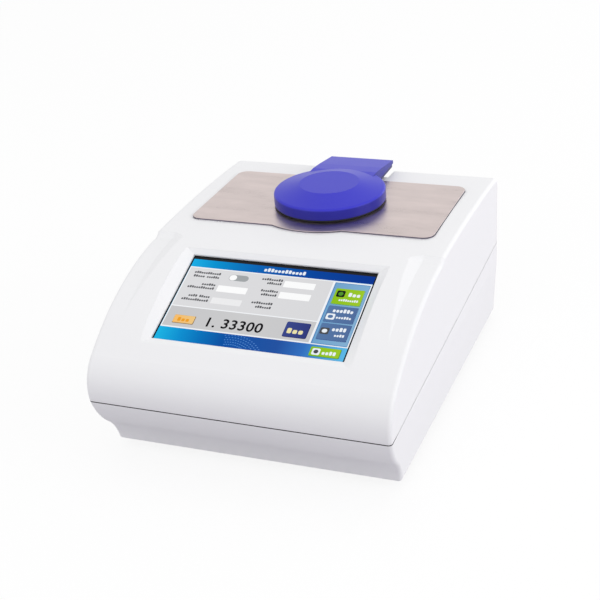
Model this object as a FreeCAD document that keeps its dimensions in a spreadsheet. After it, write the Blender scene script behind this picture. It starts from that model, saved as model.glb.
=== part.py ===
import FreeCAD, Part
import Sketcher
import math
import os

from FreeCAD import Placement, Rotation, Vector

# Bench refractometer with a sloping touch screen, a steel work surface and a round hinged lid.
# X runs to the right, Y from the nose to the rear, Z up. The origin lies on the floor under the
# middle of the body. A setback is a distance behind the nose, a height is above the base's underside.

doc = FreeCAD.newDocument("Refractometer")
sheet = doc.addObject("Spreadsheet::Sheet", "Sizes")


class Term:
    """A length or number that knows both its value and the sheet expression that gives it."""

    def __init__(self, value, text):
        self.value = value
        self.text = text

    def join(self, other, sign, value, turned=False):
        left, right = (text_of(other), self.text) if turned else (self.text, text_of(other))
        return Term(value, "(%s %s %s)" % (left, sign, right))

    def __add__(self, other):
        return self.join(other, "+", self.value + value_of(other))

    def __radd__(self, other):
        return self.join(other, "+", value_of(other) + self.value, True)

    def __sub__(self, other):
        return self.join(other, "-", self.value - value_of(other))

    def __rsub__(self, other):
        return self.join(other, "-", value_of(other) - self.value, True)

    def __mul__(self, other):
        return self.join(other, "*", self.value * value_of(other))

    def __rmul__(self, other):
        return self.join(other, "*", value_of(other) * self.value, True)

    def __truediv__(self, other):
        return self.join(other, "/", self.value / value_of(other))

    def __neg__(self):
        return Term(-self.value, "(0 - %s)" % self.text)


def value_of(number):
    return number.value if isinstance(number, Term) else number


def text_of(number):
    return number.text if isinstance(number, Term) else repr(number)


def cos_of(angle):
    return Term(math.cos(math.radians(angle.value)), "cos(%s)" % angle.text)


def sin_of(angle):
    return Term(math.sin(math.radians(angle.value)), "sin(%s)" % angle.text)


def tan_of(angle):
    return Term(math.tan(math.radians(angle.value)), "tan(%s)" % angle.text)


def asin_of(number):
    return Term(math.degrees(math.asin(number.value)), "asin(%s)" % number.text)


def root_of(number):
    return Term(math.sqrt(number.value), "sqrt(%s)" % number.text)


size_count = 0


def size(name, value):
    """One driving dimension: a row of the sheet with its alias, and the term that stands for it."""
    global size_count
    size_count += 1
    sheet.set("A%d" % size_count, name)
    sheet.set("B%d" % size_count, str(value))
    sheet.setAlias("B%d" % size_count, name)
    return Term(value, "Sizes." + name)


# Body
slope_depth = size("slope_depth", 138.2)
deck_height = size("deck_height", 131.0)
deck_crown = size("deck_crown", 0.5)
deck_camber = size("deck_camber", 2.6)
section_headroom = size("section_headroom", 9.0)
waist_tuck = size("waist_tuck", 1.3)
base_tuck = size("base_tuck", 4.7)
wall = size("wall", 3.0)
edge_round = size("edge_round", 3.0)
overrun = size("overrun", 5.0)
contact_gap = size("contact_gap", 0.3)

# Side profile of the housing, from the front foot line up over the nose and back along the deck.
# Heights below the seam are shares of the seam's, those above it of the rise from seam to deck.
CHIN_VIA_SHARE = 0.2121
KNUCKLE_SHARE = 0.4646
JAW_VIA_SHARE = 0.7313
NOSE_VIA_RISE_SHARE = 0.09816
BROW_SETBACK_SHARE = 0.09624
BROW_RISE_SHARE = 0.42331
SLOPE_VIA_SETBACK_SHARE = 0.37492
SLOPE_VIA_RISE_SHARE = 0.71287
SLOPE_END_SETBACK_SHARE = 0.67945
SLOPE_END_RISE_SHARE = 0.91411
CREST_VIA_SETBACK_SHARE = 0.83817
CREST_VIA_RISE_SHARE = 0.97574
chin_setback = size("chin_setback", 29.3)
chin_via_setback = size("chin_via_setback", 26.1)
knuckle_setback = size("knuckle_setback", 16.8)
jaw_via_setback = size("jaw_via_setback", 6.5)
seam_setback = size("seam_setback", 1.0)
seam_height = size("seam_height", 49.5)
rear_seam_margin = size("rear_seam_margin", 8.8)
rear_corner_depth = size("rear_corner_depth", 7.0)
rear_corner_drop = size("rear_corner_drop", 7.3)
heel_chamfer = size("heel_chamfer", 2.0)
foot_round = size("foot_round", 1.2)
seam_groove = size("seam_groove", 0.8)
seam_groove_depth = size("seam_groove_depth", 1.0)

# Lowered cheeks on both sides of the screen panel
CHEEK_START_SETBACK_SHARE = 0.2026
CHEEK_MIDDLE_SETBACK_SHARE = 0.6368
CHEEK_END_SETBACK_SHARE = 0.9479
CHEEK_START_SHARE = 0.26517
STEP_SETBACK_SHARE = 0.7
STEP_RISE_SHARE = 0.6
cheek_middle_drop = size("cheek_middle_drop", 3.4)
cheek_end_drop = size("cheek_end_drop", 3.4)
cheek_step_length = size("cheek_step_length", 11.0)
cheek_step_over = size("cheek_step_over", 0.6)
cheek_facet_width = size("cheek_facet_width", 11.0)
cheek_margin = size("cheek_margin", 17.65)
cheek_width = size("cheek_width", 16.4)

# Screws shared by several groups
bolt_radius = size("bolt_radius", 2.0)
bolt_head_radius = size("bolt_head_radius", 3.6)
bolt_head_height = size("bolt_head_height", 2.2)
bolt_length = size("bolt_length", 12.0)

# Feet
foot_height = size("foot_height", 6.0)
foot_radius = size("foot_radius", 9.0)
foot_taper = size("foot_taper", 1.5)
foot_inset = size("foot_inset", 26.2)
foot_front_setback = size("foot_front_setback", 58.0)
foot_rear_inset = size("foot_rear_inset", 24.0)
foot_recess_radius = size("foot_recess_radius", 4.4)
foot_recess_height = size("foot_recess_height", 3.4)
foot_web = size("foot_web", 2.6)
foot_boss_radius = size("foot_boss_radius", 6.0)
foot_boss_height = size("foot_boss_height", 12.0)

# Screen
SCREEN_SETBACK_SHARE = 0.2431
SCREEN_LOW_RISE_SHARE = 0.5362
SCREEN_HIGH_RISE_SHARE = 0.9001
screen_width = size("screen_width", 154.1)
screen_length = size("screen_length", 85.9)
window_border = size("window_border", 0.8)
window_top_border = size("window_top_border", 3.6)
window_lip = size("window_lip", 1.5)
recess_side = size("recess_side", 8.3)
recess_low_slope = size("recess_low_slope", 9.0)
recess_high_slope = size("recess_high_slope", 30.5)
recess_reach = size("recess_reach", 16.0)
recess_span = size("recess_span", 20.0)
RIM_LOW_SETBACK_SHARE = 0.1274
RIM_LOW_RISE_SHARE = 0.464
RIM_MIDDLE_SETBACK_SHARE = 0.5644
RIM_MIDDLE_RISE_SHARE = 0.8529
RIM_HIGH_SETBACK_SHARE = 1.008
RIM_HIGH_RISE_SHARE = 1.0167
glass_overlap = size("glass_overlap", 4.0)
glass_thickness = size("glass_thickness", 1.8)
lcd_thickness = size("lcd_thickness", 5.7)
lcd_margin_side = size("lcd_margin_side", 5.4)
lcd_margin_end = size("lcd_margin_end", 7.0)
frame_thickness = size("frame_thickness", 1.2)
frame_margin = size("frame_margin", 6.0)
frame_window_inset = size("frame_window_inset", 30.0)
tray_wall = size("tray_wall", 3.3)
tray_flange = size("tray_flange", 14.0)
screen_boss_radius = size("screen_boss_radius", 3.5)
screen_boss_inset = size("screen_boss_inset", 9.0)
screen_boss_gap = size("screen_boss_gap", 2.0)
screw_clearance = size("screw_clearance", 0.2)
SOCKET_SIDES = 6
screw_socket = size("screw_socket", 1.3)
screw_slot_depth = size("screw_slot_depth", 1.0)
glass_gap = size("glass_gap", 0.2)
screw_radius = size("screw_radius", 1.5)
screw_head_radius = size("screw_head_radius", 2.8)
screw_head_height = size("screw_head_height", 1.8)
screw_grip = size("screw_grip", 6.0)

# Steel work surface
plate_side_margin = size("plate_side_margin", 17.7)
plate_front_margin = size("plate_front_margin", 28.7)
plate_depth = size("plate_depth", 109.0)
plate_rear_margin = size("plate_rear_margin", 37.1)
plate_rise = size("plate_rise", 2.8)
plate_bow_depth = size("plate_bow_depth", 7.5)
plate_corner = size("plate_corner", 9.0)
plate_thickness = size("plate_thickness", 2.4)
plate_gap = size("plate_gap", 0.25)
plate_edge = size("plate_edge", 0.5)

# Sample dish, prism and their seal
dish_rise = size("dish_rise", 0.6)
dish_radius = size("dish_radius", 26.8)
dish_rim_width = size("dish_rim_width", 2.8)
dish_depth = size("dish_depth", 14.0)
dish_flange_radius = size("dish_flange_radius", 34.0)
dish_flange_thickness = size("dish_flange_thickness", 3.0)
bowl_depth = size("bowl_depth", 6.0)
bowl_lip_drop = size("bowl_lip_drop", 1.0)
prism_radius = size("prism_radius", 8.0)
prism_length = size("prism_length", 16.0)
prism_taper_length = size("prism_taper_length", 5.0)
prism_foot_radius = size("prism_foot_radius", 5.0)
seal_length = size("seal_length", 6.0)
seal_width = size("seal_width", 1.4)
dish_edge = size("dish_edge", 0.5)
dish_hole_gap = size("dish_hole_gap", 0.3)
cover_hole_gap = size("cover_hole_gap", 1.2)

# Round lid with its arm
lid_radius = size("lid_radius", 47.2)
lid_reach = size("lid_reach", 77.5)
lid_wall = size("lid_wall", 2.5)
lid_rim_height = size("lid_rim_height", 9.2)
lid_crown_height = size("lid_crown_height", 5.7)
lid_flat_radius = size("lid_flat_radius", 25.2)
lid_lift = size("lid_lift", 2.0)
lid_edge_round = size("lid_edge_round", 2.2)
gasket_width = size("gasket_width", 5.0)
presser_radius = size("presser_radius", 20.0)
presser_thickness = size("presser_thickness", 1.2)
arm_half_width = size("arm_half_width", 29.0)
arm_root_reach = size("arm_root_reach", 38.0)
arm_root_rise = size("arm_root_rise", 11.0)
arm_bend_reach = size("arm_bend_reach", 54.0)
arm_bend_rise = size("arm_bend_rise", 9.2)
lid_liner_gap = size("lid_liner_gap", 0.3)
arm_tail_rise = size("arm_tail_rise", 4.7)
arm_tail_overhang = size("arm_tail_overhang", 6.6)
arm_split_rise = size("arm_split_rise", 1.9)
arm_gap = size("arm_gap", 0.6)
arm_step = size("arm_step", 0.8)
arm_floor_gap = size("arm_floor_gap", 1.1)

# Hinge
hinge_inset = size("hinge_inset", 11.5)
hinge_drop = size("hinge_drop", 0.8)
pin_radius = size("pin_radius", 2.0)
pin_gap = size("pin_gap", 0.05)
pin_half_length = size("pin_half_length", 20.0)
knuckle_radius = size("knuckle_radius", 4.4)
ear_spacing = size("ear_spacing", 15.5)
ear_thickness = size("ear_thickness", 3.0)
ear_gap = size("ear_gap", 0.4)
ear_radius = size("ear_radius", 4.2)
bracket_plate_thickness = size("bracket_plate_thickness", 1.5)
bracket_half_width = size("bracket_half_width", 24.0)
bracket_depth = size("bracket_depth", 11.0)
hinge_screw_spread = size("hinge_screw_spread", 20.5)
notch_side_gap = size("notch_side_gap", 1.0)
notch_front_gap = size("notch_front_gap", 11.5)
notch_depth = size("notch_depth", 12.0)
notch_wall = size("notch_wall", 2.5)
magnet_radius = size("magnet_radius", 4.0)
magnet_thickness = size("magnet_thickness", 2.0)
magnet_reach = size("magnet_reach", 36.0)

# Posts that tie the cover to the base
post_radius = size("post_radius", 5.0)
post_inset = size("post_inset", 12.2)
post_front_setback = size("post_front_setback", 66.0)
post_rear_inset = size("post_rear_inset", 26.0)
post_foot = size("post_foot", 9.0)

# Optics under the prism
block_width = size("block_width", 70.0)
block_height = size("block_height", 46.0)
block_flange_width = size("block_flange_width", 120.0)
block_flange_depth = size("block_flange_depth", 80.0)
block_flange_thickness = size("block_flange_thickness", 10.0)
pillar_radius = size("pillar_radius", 4.0)
pillar_spread_x = size("pillar_spread_x", 52.0)
pillar_spread_y = size("pillar_spread_y", 32.0)
beam_angle = size("beam_angle", 30.0)
beam_radius = size("beam_radius", 5.0)
prism_pit_gap = size("prism_pit_gap", 1.0)
prism_pit_depth = size("prism_pit_depth", 10.0)
holder_width = size("holder_width", 24.0)
holder_depth = size("holder_depth", 12.0)
sensor_board_width = size("sensor_board_width", 34.0)
sensor_board_thickness = size("sensor_board_thickness", 1.6)
line_sensor_width = size("line_sensor_width", 7.0)
line_sensor_tall = size("line_sensor_tall", 5.0)
line_sensor_depth = size("line_sensor_depth", 2.5)
lamp_radius = size("lamp_radius", 2.5)
lamp_length = size("lamp_length", 7.0)
lamp_collar_radius = size("lamp_collar_radius", 3.0)
lamp_collar_length = size("lamp_collar_length", 1.0)
lens_thickness = size("lens_thickness", 2.5)
lens_reach = size("lens_reach", 24.0)
probe_radius = size("probe_radius", 1.5)
probe_length = size("probe_length", 22.0)
probe_drop = size("probe_drop", 5.0)
peltier_width = size("peltier_width", 40.0)
peltier_thickness = size("peltier_thickness", 3.8)
sink_width = size("sink_width", 90.0)
sink_depth = size("sink_depth", 76.0)
sink_base = size("sink_base", 6.0)
sink_fin_height = size("sink_fin_height", 28.0)
sink_fin_thickness = size("sink_fin_thickness", 2.0)
SINK_FINS = 10

# Electronics
board_side_gap = size("board_side_gap", 11.0)
board_depth = size("board_depth", 105.0)
board_thickness = size("board_thickness", 1.6)
board_height = size("board_height", 14.0)
board_edge = size("board_edge", 9.0)
standoff_radius = size("standoff_radius", 3.0)
chip_height = size("chip_height", 1.8)
chip_width = size("chip_width", 22.0)
connector_height = size("connector_height", 9.0)
connector_width = size("connector_width", 14.0)
supply_wall_gap = size("supply_wall_gap", 3.2)
supply_pillar_gap = size("supply_pillar_gap", 8.0)
supply_rear_gap = size("supply_rear_gap", 43.5)
supply_depth = size("supply_depth", 95.0)
supply_height = size("supply_height", 40.0)
supply_slot = size("supply_slot", 3.0)
supply_slot_pitch = size("supply_slot_pitch", 7.0)
supply_slot_depth = size("supply_slot_depth", 1.0)

# Rear panel and what it carries. Places across it are shares of the space beside the fan.
SWITCH_SHARE = 0.2208
INLET_SHARE = 0.6364
SERIAL_SHARE = 0.3247
PORT_SHARE = 0.7143
opening_side = size("opening_side", 18.2)
opening_margin = size("opening_margin", 2.0)
panel_floor_gap = size("panel_floor_gap", 1.0)
panel_margin = size("panel_margin", 8.0)
panel_lap = size("panel_lap", 6.0)
panel_thickness = size("panel_thickness", 1.5)
panel_screw_radius = size("panel_screw_radius", 1.5)
panel_head_radius = size("panel_head_radius", 2.8)
panel_head_height = size("panel_head_height", 1.8)
panel_screw_length = size("panel_screw_length", 5.0)
panel_screw_inset = size("panel_screw_inset", 4.0)
panel_screw_offset = size("panel_screw_offset", 16.0)
panel_hole_gap = size("panel_hole_gap", 0.2)
fan_width = size("fan_width", 46.0)
fan_depth = size("fan_depth", 15.0)
fan_rim = size("fan_rim", 2.0)
fan_screw_inset = size("fan_screw_inset", 3.5)
fan_hub_radius = size("fan_hub_radius", 9.0)
fan_hub_length = size("fan_hub_length", 10.0)
fan_tip_gap = size("fan_tip_gap", 1.0)
fan_blade_thickness = size("fan_blade_thickness", 1.2)
fan_blade_chord = size("fan_blade_chord", 9.0)
fan_blade_pitch = size("fan_blade_pitch", 40.0)
fan_spider_thickness = size("fan_spider_thickness", 2.0)
fan_spider_width = size("fan_spider_width", 3.0)
fan_running_gap = size("fan_running_gap", 0.6)
fan_shaft_radius = size("fan_shaft_radius", 1.5)
fan_spider_hub_radius = size("fan_spider_hub_radius", 8.0)
grille_slot_width = size("grille_slot_width", 3.2)
grille_slot_start = size("grille_slot_start", 8.0)
grille_margin = size("grille_margin", 2.0)
inlet_drop = size("inlet_drop", 9.0)
inlet_width = size("inlet_width", 31.0)
inlet_tall = size("inlet_tall", 22.0)
inlet_body_width = size("inlet_body_width", 27.0)
inlet_body_tall = size("inlet_body_tall", 19.6)
inlet_depth = size("inlet_depth", 18.0)
inlet_flange = size("inlet_flange", 2.0)
inlet_cavity_width = size("inlet_cavity_width", 24.0)
inlet_cavity_tall = size("inlet_cavity_tall", 16.6)
inlet_cavity_depth = size("inlet_cavity_depth", 14.0)
inlet_pin_spread = size("inlet_pin_spread", 7.0)
inlet_pin_drop = size("inlet_pin_drop", 3.0)
inlet_pin_width = size("inlet_pin_width", 2.0)
inlet_pin_tall = size("inlet_pin_tall", 4.0)
inlet_pin_length = size("inlet_pin_length", 10.0)
fuse_rise = size("fuse_rise", 13.0)
fuse_width = size("fuse_width", 24.0)
fuse_tall = size("fuse_tall", 9.0)
fuse_depth = size("fuse_depth", 16.0)
fuse_wall = size("fuse_wall", 1.6)
fuse_gap = size("fuse_gap", 0.3)
fuse_flange = size("fuse_flange", 0.9)
fuse_flange_margin = size("fuse_flange_margin", 1.4)
fuse_fascia = size("fuse_fascia", 1.5)
fuse_pocket_width = size("fuse_pocket_width", 5.0)
fuse_radius = size("fuse_radius", 2.0)
fuse_length = size("fuse_length", 16.0)
switch_width = size("switch_width", 14.0)
switch_tall = size("switch_tall", 22.0)
switch_rim = size("switch_rim", 1.6)
switch_flange = size("switch_flange", 1.2)
switch_depth = size("switch_depth", 14.0)
switch_wall = size("switch_wall", 1.5)
rocker_gap = size("rocker_gap", 0.4)
rocker_radius = size("rocker_radius", 8.6)
rocker_tilt = size("rocker_tilt", 8.0)
rocker_face_reach = size("rocker_face_reach", 4.5)
rocker_axis_depth = size("rocker_axis_depth", 2.9)
rocker_pin_radius = size("rocker_pin_radius", 1.2)
usb_rise = size("usb_rise", 10.0)
network_drop = size("network_drop", 9.0)
port_reach = size("port_reach", 0.8)
port_collar = size("port_collar", 1.0)
serial_width = size("serial_width", 30.8)
serial_tall = size("serial_tall", 12.5)
serial_flange = size("serial_flange", 0.8)
serial_shell_width = size("serial_shell_width", 18.0)
serial_shell_tall = size("serial_shell_tall", 8.4)
serial_slant = size("serial_slant", 1.0)
serial_reach = size("serial_reach", 2.3)
serial_body_depth = size("serial_body_depth", 10.0)
serial_cavity_depth = size("serial_cavity_depth", 6.0)
serial_wall = size("serial_wall", 0.6)
serial_pin_radius = size("serial_pin_radius", 0.5)
serial_pin_pitch = size("serial_pin_pitch", 2.7)
serial_pin_row = size("serial_pin_row", 2.8)
serial_pin_length = size("serial_pin_length", 4.0)
usb_width = size("usb_width", 14.5)
usb_tall = size("usb_tall", 7.2)
usb_wall = size("usb_wall", 0.7)
usb_depth = size("usb_depth", 14.0)
usb_cavity_depth = size("usb_cavity_depth", 12.0)
usb_tongue_thickness = size("usb_tongue_thickness", 1.8)
usb_tongue_depth = size("usb_tongue_depth", 9.0)
network_width = size("network_width", 16.0)
network_tall = size("network_tall", 13.5)
network_wall = size("network_wall", 1.2)
network_depth = size("network_depth", 16.0)
network_cavity_depth = size("network_cavity_depth", 12.0)


# The display sets the width, the fan sets the rear opening and the seam's height behind it,
# the slope and the work surface set the depth
window_x = screen_width / 2 + window_border
facet_start = window_x + cheek_margin
cheek_half_gap = facet_start + cheek_facet_width
deck_half_width = cheek_half_gap + cheek_width
waist_half_width = deck_half_width - waist_tuck
base_half_width = deck_half_width - base_tuck
plate_front_setback = slope_depth + plate_front_margin
plate_width = 2 * (deck_half_width - plate_side_margin)
body_depth = plate_front_setback + plate_depth + plate_rear_margin
fan_half = fan_width / 2
fan_bore_radius = fan_half - fan_rim
fan_screw_spread = fan_half - fan_screw_inset
opening_low = wall + panel_floor_gap + panel_lap
panel_height = opening_low + opening_margin + fan_half
opening_high = panel_height + fan_half + opening_margin
opening_half_width = base_half_width - opening_side
seam_rise = opening_high + rear_seam_margin - seam_height
deck_start_height = deck_height + deck_crown
section_top = deck_height + section_headroom
plate_top_height = deck_start_height + plate_rise


def rise_to(share):
    """Height at this share of the way from the seam up to the deck."""
    return seam_height + share * (deck_height - seam_height)


def rear(inset):
    """Y of a place this far in front of the rear wall's outer face."""
    return body_depth / 2 - inset


def back(setback):
    """Y of a place this far behind the nose."""
    return setback - body_depth / 2


def up(height):
    """Z of a place this high above the base's underside."""
    return height + foot_height


def bind(thing, prop, term):
    thing.setExpression(prop, text_of(term))


def place(thing, x=0, y=0, z=0):
    for axis, term in zip("xyz", (x, y, z)):
        bind(thing, "Placement.Base." + axis, term)
    return thing


def box(name, length, width, height, x=0, y=0, z=0, centred="xy"):
    """A block at x, y, z, centred on the axes named."""
    block = doc.addObject("Part::Box", name)
    bind(block, "Length", length)
    bind(block, "Width", width)
    bind(block, "Height", height)
    x = x - length / 2 if "x" in centred else x
    y = y - width / 2 if "y" in centred else y
    z = z - height / 2 if "z" in centred else z
    return place(block, x, y, z)


TURNS = {
    "x": Rotation(Vector(0, 1, 0), 90),
    "y": Rotation(Vector(1, 0, 0), -90),
    "z": Rotation(),
}


def cylinder(name, radius, length, x=0, y=0, z=0, along="z"):
    """A round bar that starts at x, y, z and runs along the axis named."""
    bar = doc.addObject("Part::Cylinder", name)
    bar.Placement = Placement(Vector(), TURNS[along])
    bind(bar, "Radius", radius)
    bind(bar, "Height", length)
    return place(bar, x, y, z)


def fuse(name, *parts):
    union = doc.addObject("Part::MultiFuse", name)
    union.Shapes = list(parts)
    return union


def common(name, *parts):
    overlap = doc.addObject("Part::MultiCommon", name)
    overlap.Shapes = list(parts)
    return overlap


def group(name, *parts):
    """Several separate solids in one piece."""
    together = doc.addObject("Part::Compound", name)
    together.Links = list(parts)
    return together


def cut(name, base, *tools):
    difference = doc.addObject("Part::Cut", name)
    difference.Base = base
    difference.Tool = tools[0] if len(tools) == 1 else fuse(name + "_tools", *tools)
    return difference


# Planes of a body's origin. A sketch on XZ has its normal towards the front, one on YZ to the right.
def body_of(name):
    return doc.addObject("PartDesign::Body", name)


def sketch_on(body, name, plane, lift=0, x=0, y=0):
    """A sketch on one of the body's origin planes, moved by x and y in it and by lift along its normal."""
    drawing = body.newObject("Sketcher::SketchObject", name)
    support = [face for face in body.Origin.OriginFeatures if face.Role == plane + "_Plane"][0]
    drawing.AttachmentSupport = (support, [""])
    drawing.MapMode = "FlatFace"
    for axis, term in zip("xyz", (x, y, lift)):
        bind(drawing, "AttachmentOffset.Base." + axis, term)
    return drawing


def fix_point(drawing, index, end, x, y):
    for kind, term in (("DistanceX", x), ("DistanceY", y)):
        at = drawing.addConstraint(Sketcher.Constraint(kind, -1, 1, index, end, float(value_of(term))))
        if isinstance(term, Term):
            drawing.setExpression("Constraints[%d]" % at, term.text)


def via(x, y):
    """Marks an arc that passes through this point on its way to the next corner."""
    return ("via", x, y)


def outline(drawing, *corners):
    """Closes a loop through the corners. Between two of them, via makes an arc through a point."""
    points = [c for c in corners if c[0] != "via"]
    marks = {}
    count = 0
    for c in corners:
        if c[0] == "via":
            marks[count - 1] = c
        else:
            count += 1
    spots = [Vector(value_of(x), value_of(y), 0) for x, y in points]
    edges = []
    for i, start in enumerate(spots):
        end = spots[(i + 1) % len(spots)]
        if i not in marks:
            edges.append((drawing.addGeometry(Part.LineSegment(start, end), False), 1, 2))
            continue
        x, y = marks[i][1:]
        middle = Vector(value_of(x), value_of(y), 0)
        left_turn = (middle - start).cross(end - middle).z > 0
        ends = (start, end) if left_turn else (end, start)
        index = drawing.addGeometry(Part.Arc(ends[0], middle, ends[1]), False)
        edges.append((index, 1, 2) if left_turn else (index, 2, 1))
        guide = drawing.addGeometry(Part.Point(middle), True)
        fix_point(drawing, guide, 1, x, y)
        drawing.addConstraint(Sketcher.Constraint("PointOnObject", guide, 1, index))
    for i, (x, y) in enumerate(points):
        index, start_end = edges[i][:2]
        before, last_end = edges[i - 1][0], edges[i - 1][2]
        drawing.addConstraint(Sketcher.Constraint("Coincident", before, last_end, index, start_end))
        fix_point(drawing, index, start_end, x, y)
    return drawing


def ring(drawing, radius, x=0, y=0):
    """A circle with its centre at x, y."""
    centre = Vector(value_of(x), value_of(y), 0)
    index = drawing.addGeometry(Part.Circle(centre, Vector(0, 0, 1), value_of(radius)), False)
    fix_point(drawing, index, 3, x, y)
    at = drawing.addConstraint(Sketcher.Constraint("Radius", index, float(value_of(radius))))
    drawing.setExpression("Constraints[%d]" % at, radius.text)
    return drawing


DIAGONAL = math.sqrt(0.5)
ARC_SHARE = 1 - DIAGONAL


def rectangle(drawing, low_x, low_y, high_x, high_y):
    return outline(drawing, (low_x, low_y), (high_x, low_y), (high_x, high_y), (low_x, high_y))


def round_rectangle(drawing, low_x, low_y, high_x, high_y, radius):
    inset = radius * ARC_SHARE
    return outline(
        drawing,
        (low_x + radius, low_y), (high_x - radius, low_y), via(high_x - inset, low_y + inset),
        (high_x, low_y + radius), (high_x, high_y - radius), via(high_x - inset, high_y - inset),
        (high_x - radius, high_y), (low_x + radius, high_y), via(low_x + inset, high_y - inset),
        (low_x, high_y - radius), (low_x, low_y + radius), via(low_x + inset, low_y + inset))


def pad(body, drawing, length, midplane=False, backwards=False):
    block = body.newObject("PartDesign::Pad", drawing.Name + "_pad")
    block.Profile = drawing
    bind(block, "Length", length)
    block.Midplane = midplane
    block.Reversed = backwards
    return block


def pocket(body, drawing, length, midplane=False, backwards=False):
    """Cuts the sketch out of the body, and stops the build if that removes nothing."""
    doc.recompute()
    before = body.Shape.Volume
    hole = body.newObject("PartDesign::Pocket", drawing.Name + "_pocket")
    hole.Profile = drawing
    bind(hole, "Length", length)
    hole.Midplane = midplane
    hole.Reversed = backwards
    doc.recompute()
    if body.Shape.Volume >= before:
        raise RuntimeError(drawing.Name + " cuts nothing")
    return hole


def polar(body, feature, drawing, count):
    """Repeats the feature evenly round the origin of its sketch."""
    pattern = body.newObject("PartDesign::PolarPattern", drawing.Name + "_pattern")
    pattern.Originals = [feature]
    pattern.Axis = (drawing, ["N_Axis"])
    pattern.Angle = 360
    body.Tip = pattern
    pattern.Occurrences = count
    return pattern


def revolve(body, drawing):
    """Turns the sketch once round its own vertical axis."""
    turned = body.newObject("PartDesign::Revolution", drawing.Name + "_revolution")
    turned.Profile = drawing
    turned.ReferenceAxis = (drawing, ["V_Axis"])
    turned.Angle = 360
    return turned


def turned_body(name, *corners):
    """A turned piece: the corners are radius and height, the axis is Z."""
    body = body_of(name)
    revolve(body, outline(sketch_on(body, name + "_profile", "XZ"), *corners))
    return body


def extrusion(name, drawing, length):
    """A closed drawing extruded to both sides of its plane."""
    block = doc.addObject("Part::Extrusion", name)
    block.Base = drawing
    block.DirMode = "Normal"
    block.Solid = True
    block.Symmetric = True
    bind(block, "LengthFwd", length)
    return block


def loose_sketch(name, plane, x=0, y=0, z=0):
    """A sketch outside any body, on the plane named, through x, y, z."""
    turns = {"XY": Rotation(), "XZ": Rotation(Vector(1, 0, 0), 90), "YZ": Rotation(Vector(1, 1, 1), 120)}
    drawing = doc.addObject("Sketcher::SketchObject", name)
    drawing.Placement = Placement(Vector(), turns[plane])
    return place(drawing, x, y, z)


def inset_of(name, drawing, depth):
    offset = doc.addObject("Part::Offset2D", name)
    offset.Source = drawing
    bind(offset, "Value", -depth)
    offset.Join = 2
    return offset


SHARP_ANGLE = math.radians(25)


def sharp_edges(shape, wanted):
    """Names of the shape's sharp edges whose middle point is wanted."""
    names = []
    for index, edge in enumerate(shape.Edges):
        sides = [face for face in shape.Faces if any(part.isSame(edge) for part in face.Edges)]
        middle = edge.valueAt(edge.getParameterByLength(edge.Length / 2))
        if len(sides) != 2 or not wanted(middle):
            continue
        normals = [side.normalAt(*side.Surface.parameter(middle)) for side in sides]
        if normals[0].getAngle(normals[1]) > SHARP_ANGLE:
            names.append("Edge%d" % (index + 1))
    return names


def soften(body, radius, wanted):
    """Rounds those of the body's sharp edges whose middle point is wanted."""
    doc.recompute()
    last = body.Tip
    soft = body.newObject("PartDesign::Fillet", body.Name + "_rounding")
    soft.Base = (last, sharp_edges(last.Shape, wanted))
    bind(soft, "Radius", radius)
    return body


def rounded(name, base, radius, wanted):
    """A body that takes over the shape of base and rounds its wanted edges."""
    body = body_of(name)
    body.BaseFeature = base
    return soften(body, radius, wanted)


nodes = {}


def node(name, thing):
    """Names the piece. Its label becomes its file's name."""
    thing.Label = name
    nodes[name] = thing
    return thing


# Housing: the side profile and the front section, each extruded, share the outer form
side_outline = outline(
    loose_sketch("side_outline", "YZ"),
    (back(chin_setback), up(0)), via(back(chin_via_setback), up(CHIN_VIA_SHARE * seam_height)),
    (back(knuckle_setback), up(KNUCKLE_SHARE * seam_height)),
    via(back(jaw_via_setback), up(JAW_VIA_SHARE * seam_height)),
    (back(seam_setback), up(seam_height)), via(back(0), up(rise_to(NOSE_VIA_RISE_SHARE))),
    (back(BROW_SETBACK_SHARE * slope_depth), up(rise_to(BROW_RISE_SHARE))),
    via(back(SLOPE_VIA_SETBACK_SHARE * slope_depth), up(rise_to(SLOPE_VIA_RISE_SHARE))),
    (back(SLOPE_END_SETBACK_SHARE * slope_depth), up(rise_to(SLOPE_END_RISE_SHARE))),
    via(back(CREST_VIA_SETBACK_SHARE * slope_depth), up(rise_to(CREST_VIA_RISE_SHARE))),
    (back(slope_depth), up(deck_start_height)),
    via((back(slope_depth) + rear(rear_corner_depth)) / 2, up(deck_height + deck_camber)),
    (rear(rear_corner_depth), up(deck_height)),
    via(rear(ARC_SHARE * rear_corner_depth), up(deck_height - ARC_SHARE * rear_corner_drop)),
    (rear(0), up(deck_height - rear_corner_drop)),
    (rear(0), up(heel_chamfer)), (rear(heel_chamfer), up(0)))
front_outline = outline(
    loose_sketch("front_outline", "XZ"),
    (-base_half_width, up(0)), (base_half_width, up(0)), (waist_half_width, up(seam_height)),
    (deck_half_width, up(section_top)), (-deck_half_width, up(section_top)),
    (-waist_half_width, up(seam_height)))

full_width = 2 * deck_half_width + 2 * overrun
full_depth = body_depth + 2 * overrun


def housing_form(name, depth):
    """The housing's form, its surface moved inwards by depth."""
    side, front = side_outline, front_outline
    if depth is not None:
        side = inset_of(name + "_side_inset", side_outline, depth)
        front = inset_of(name + "_front_inset", front_outline, depth)
    return common(name, extrusion(name + "_side", side, full_width),
                  extrusion(name + "_front", front, full_depth))


outer_form = housing_form("outer_form", None)
inner_form = housing_form("inner_form", wall)


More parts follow.
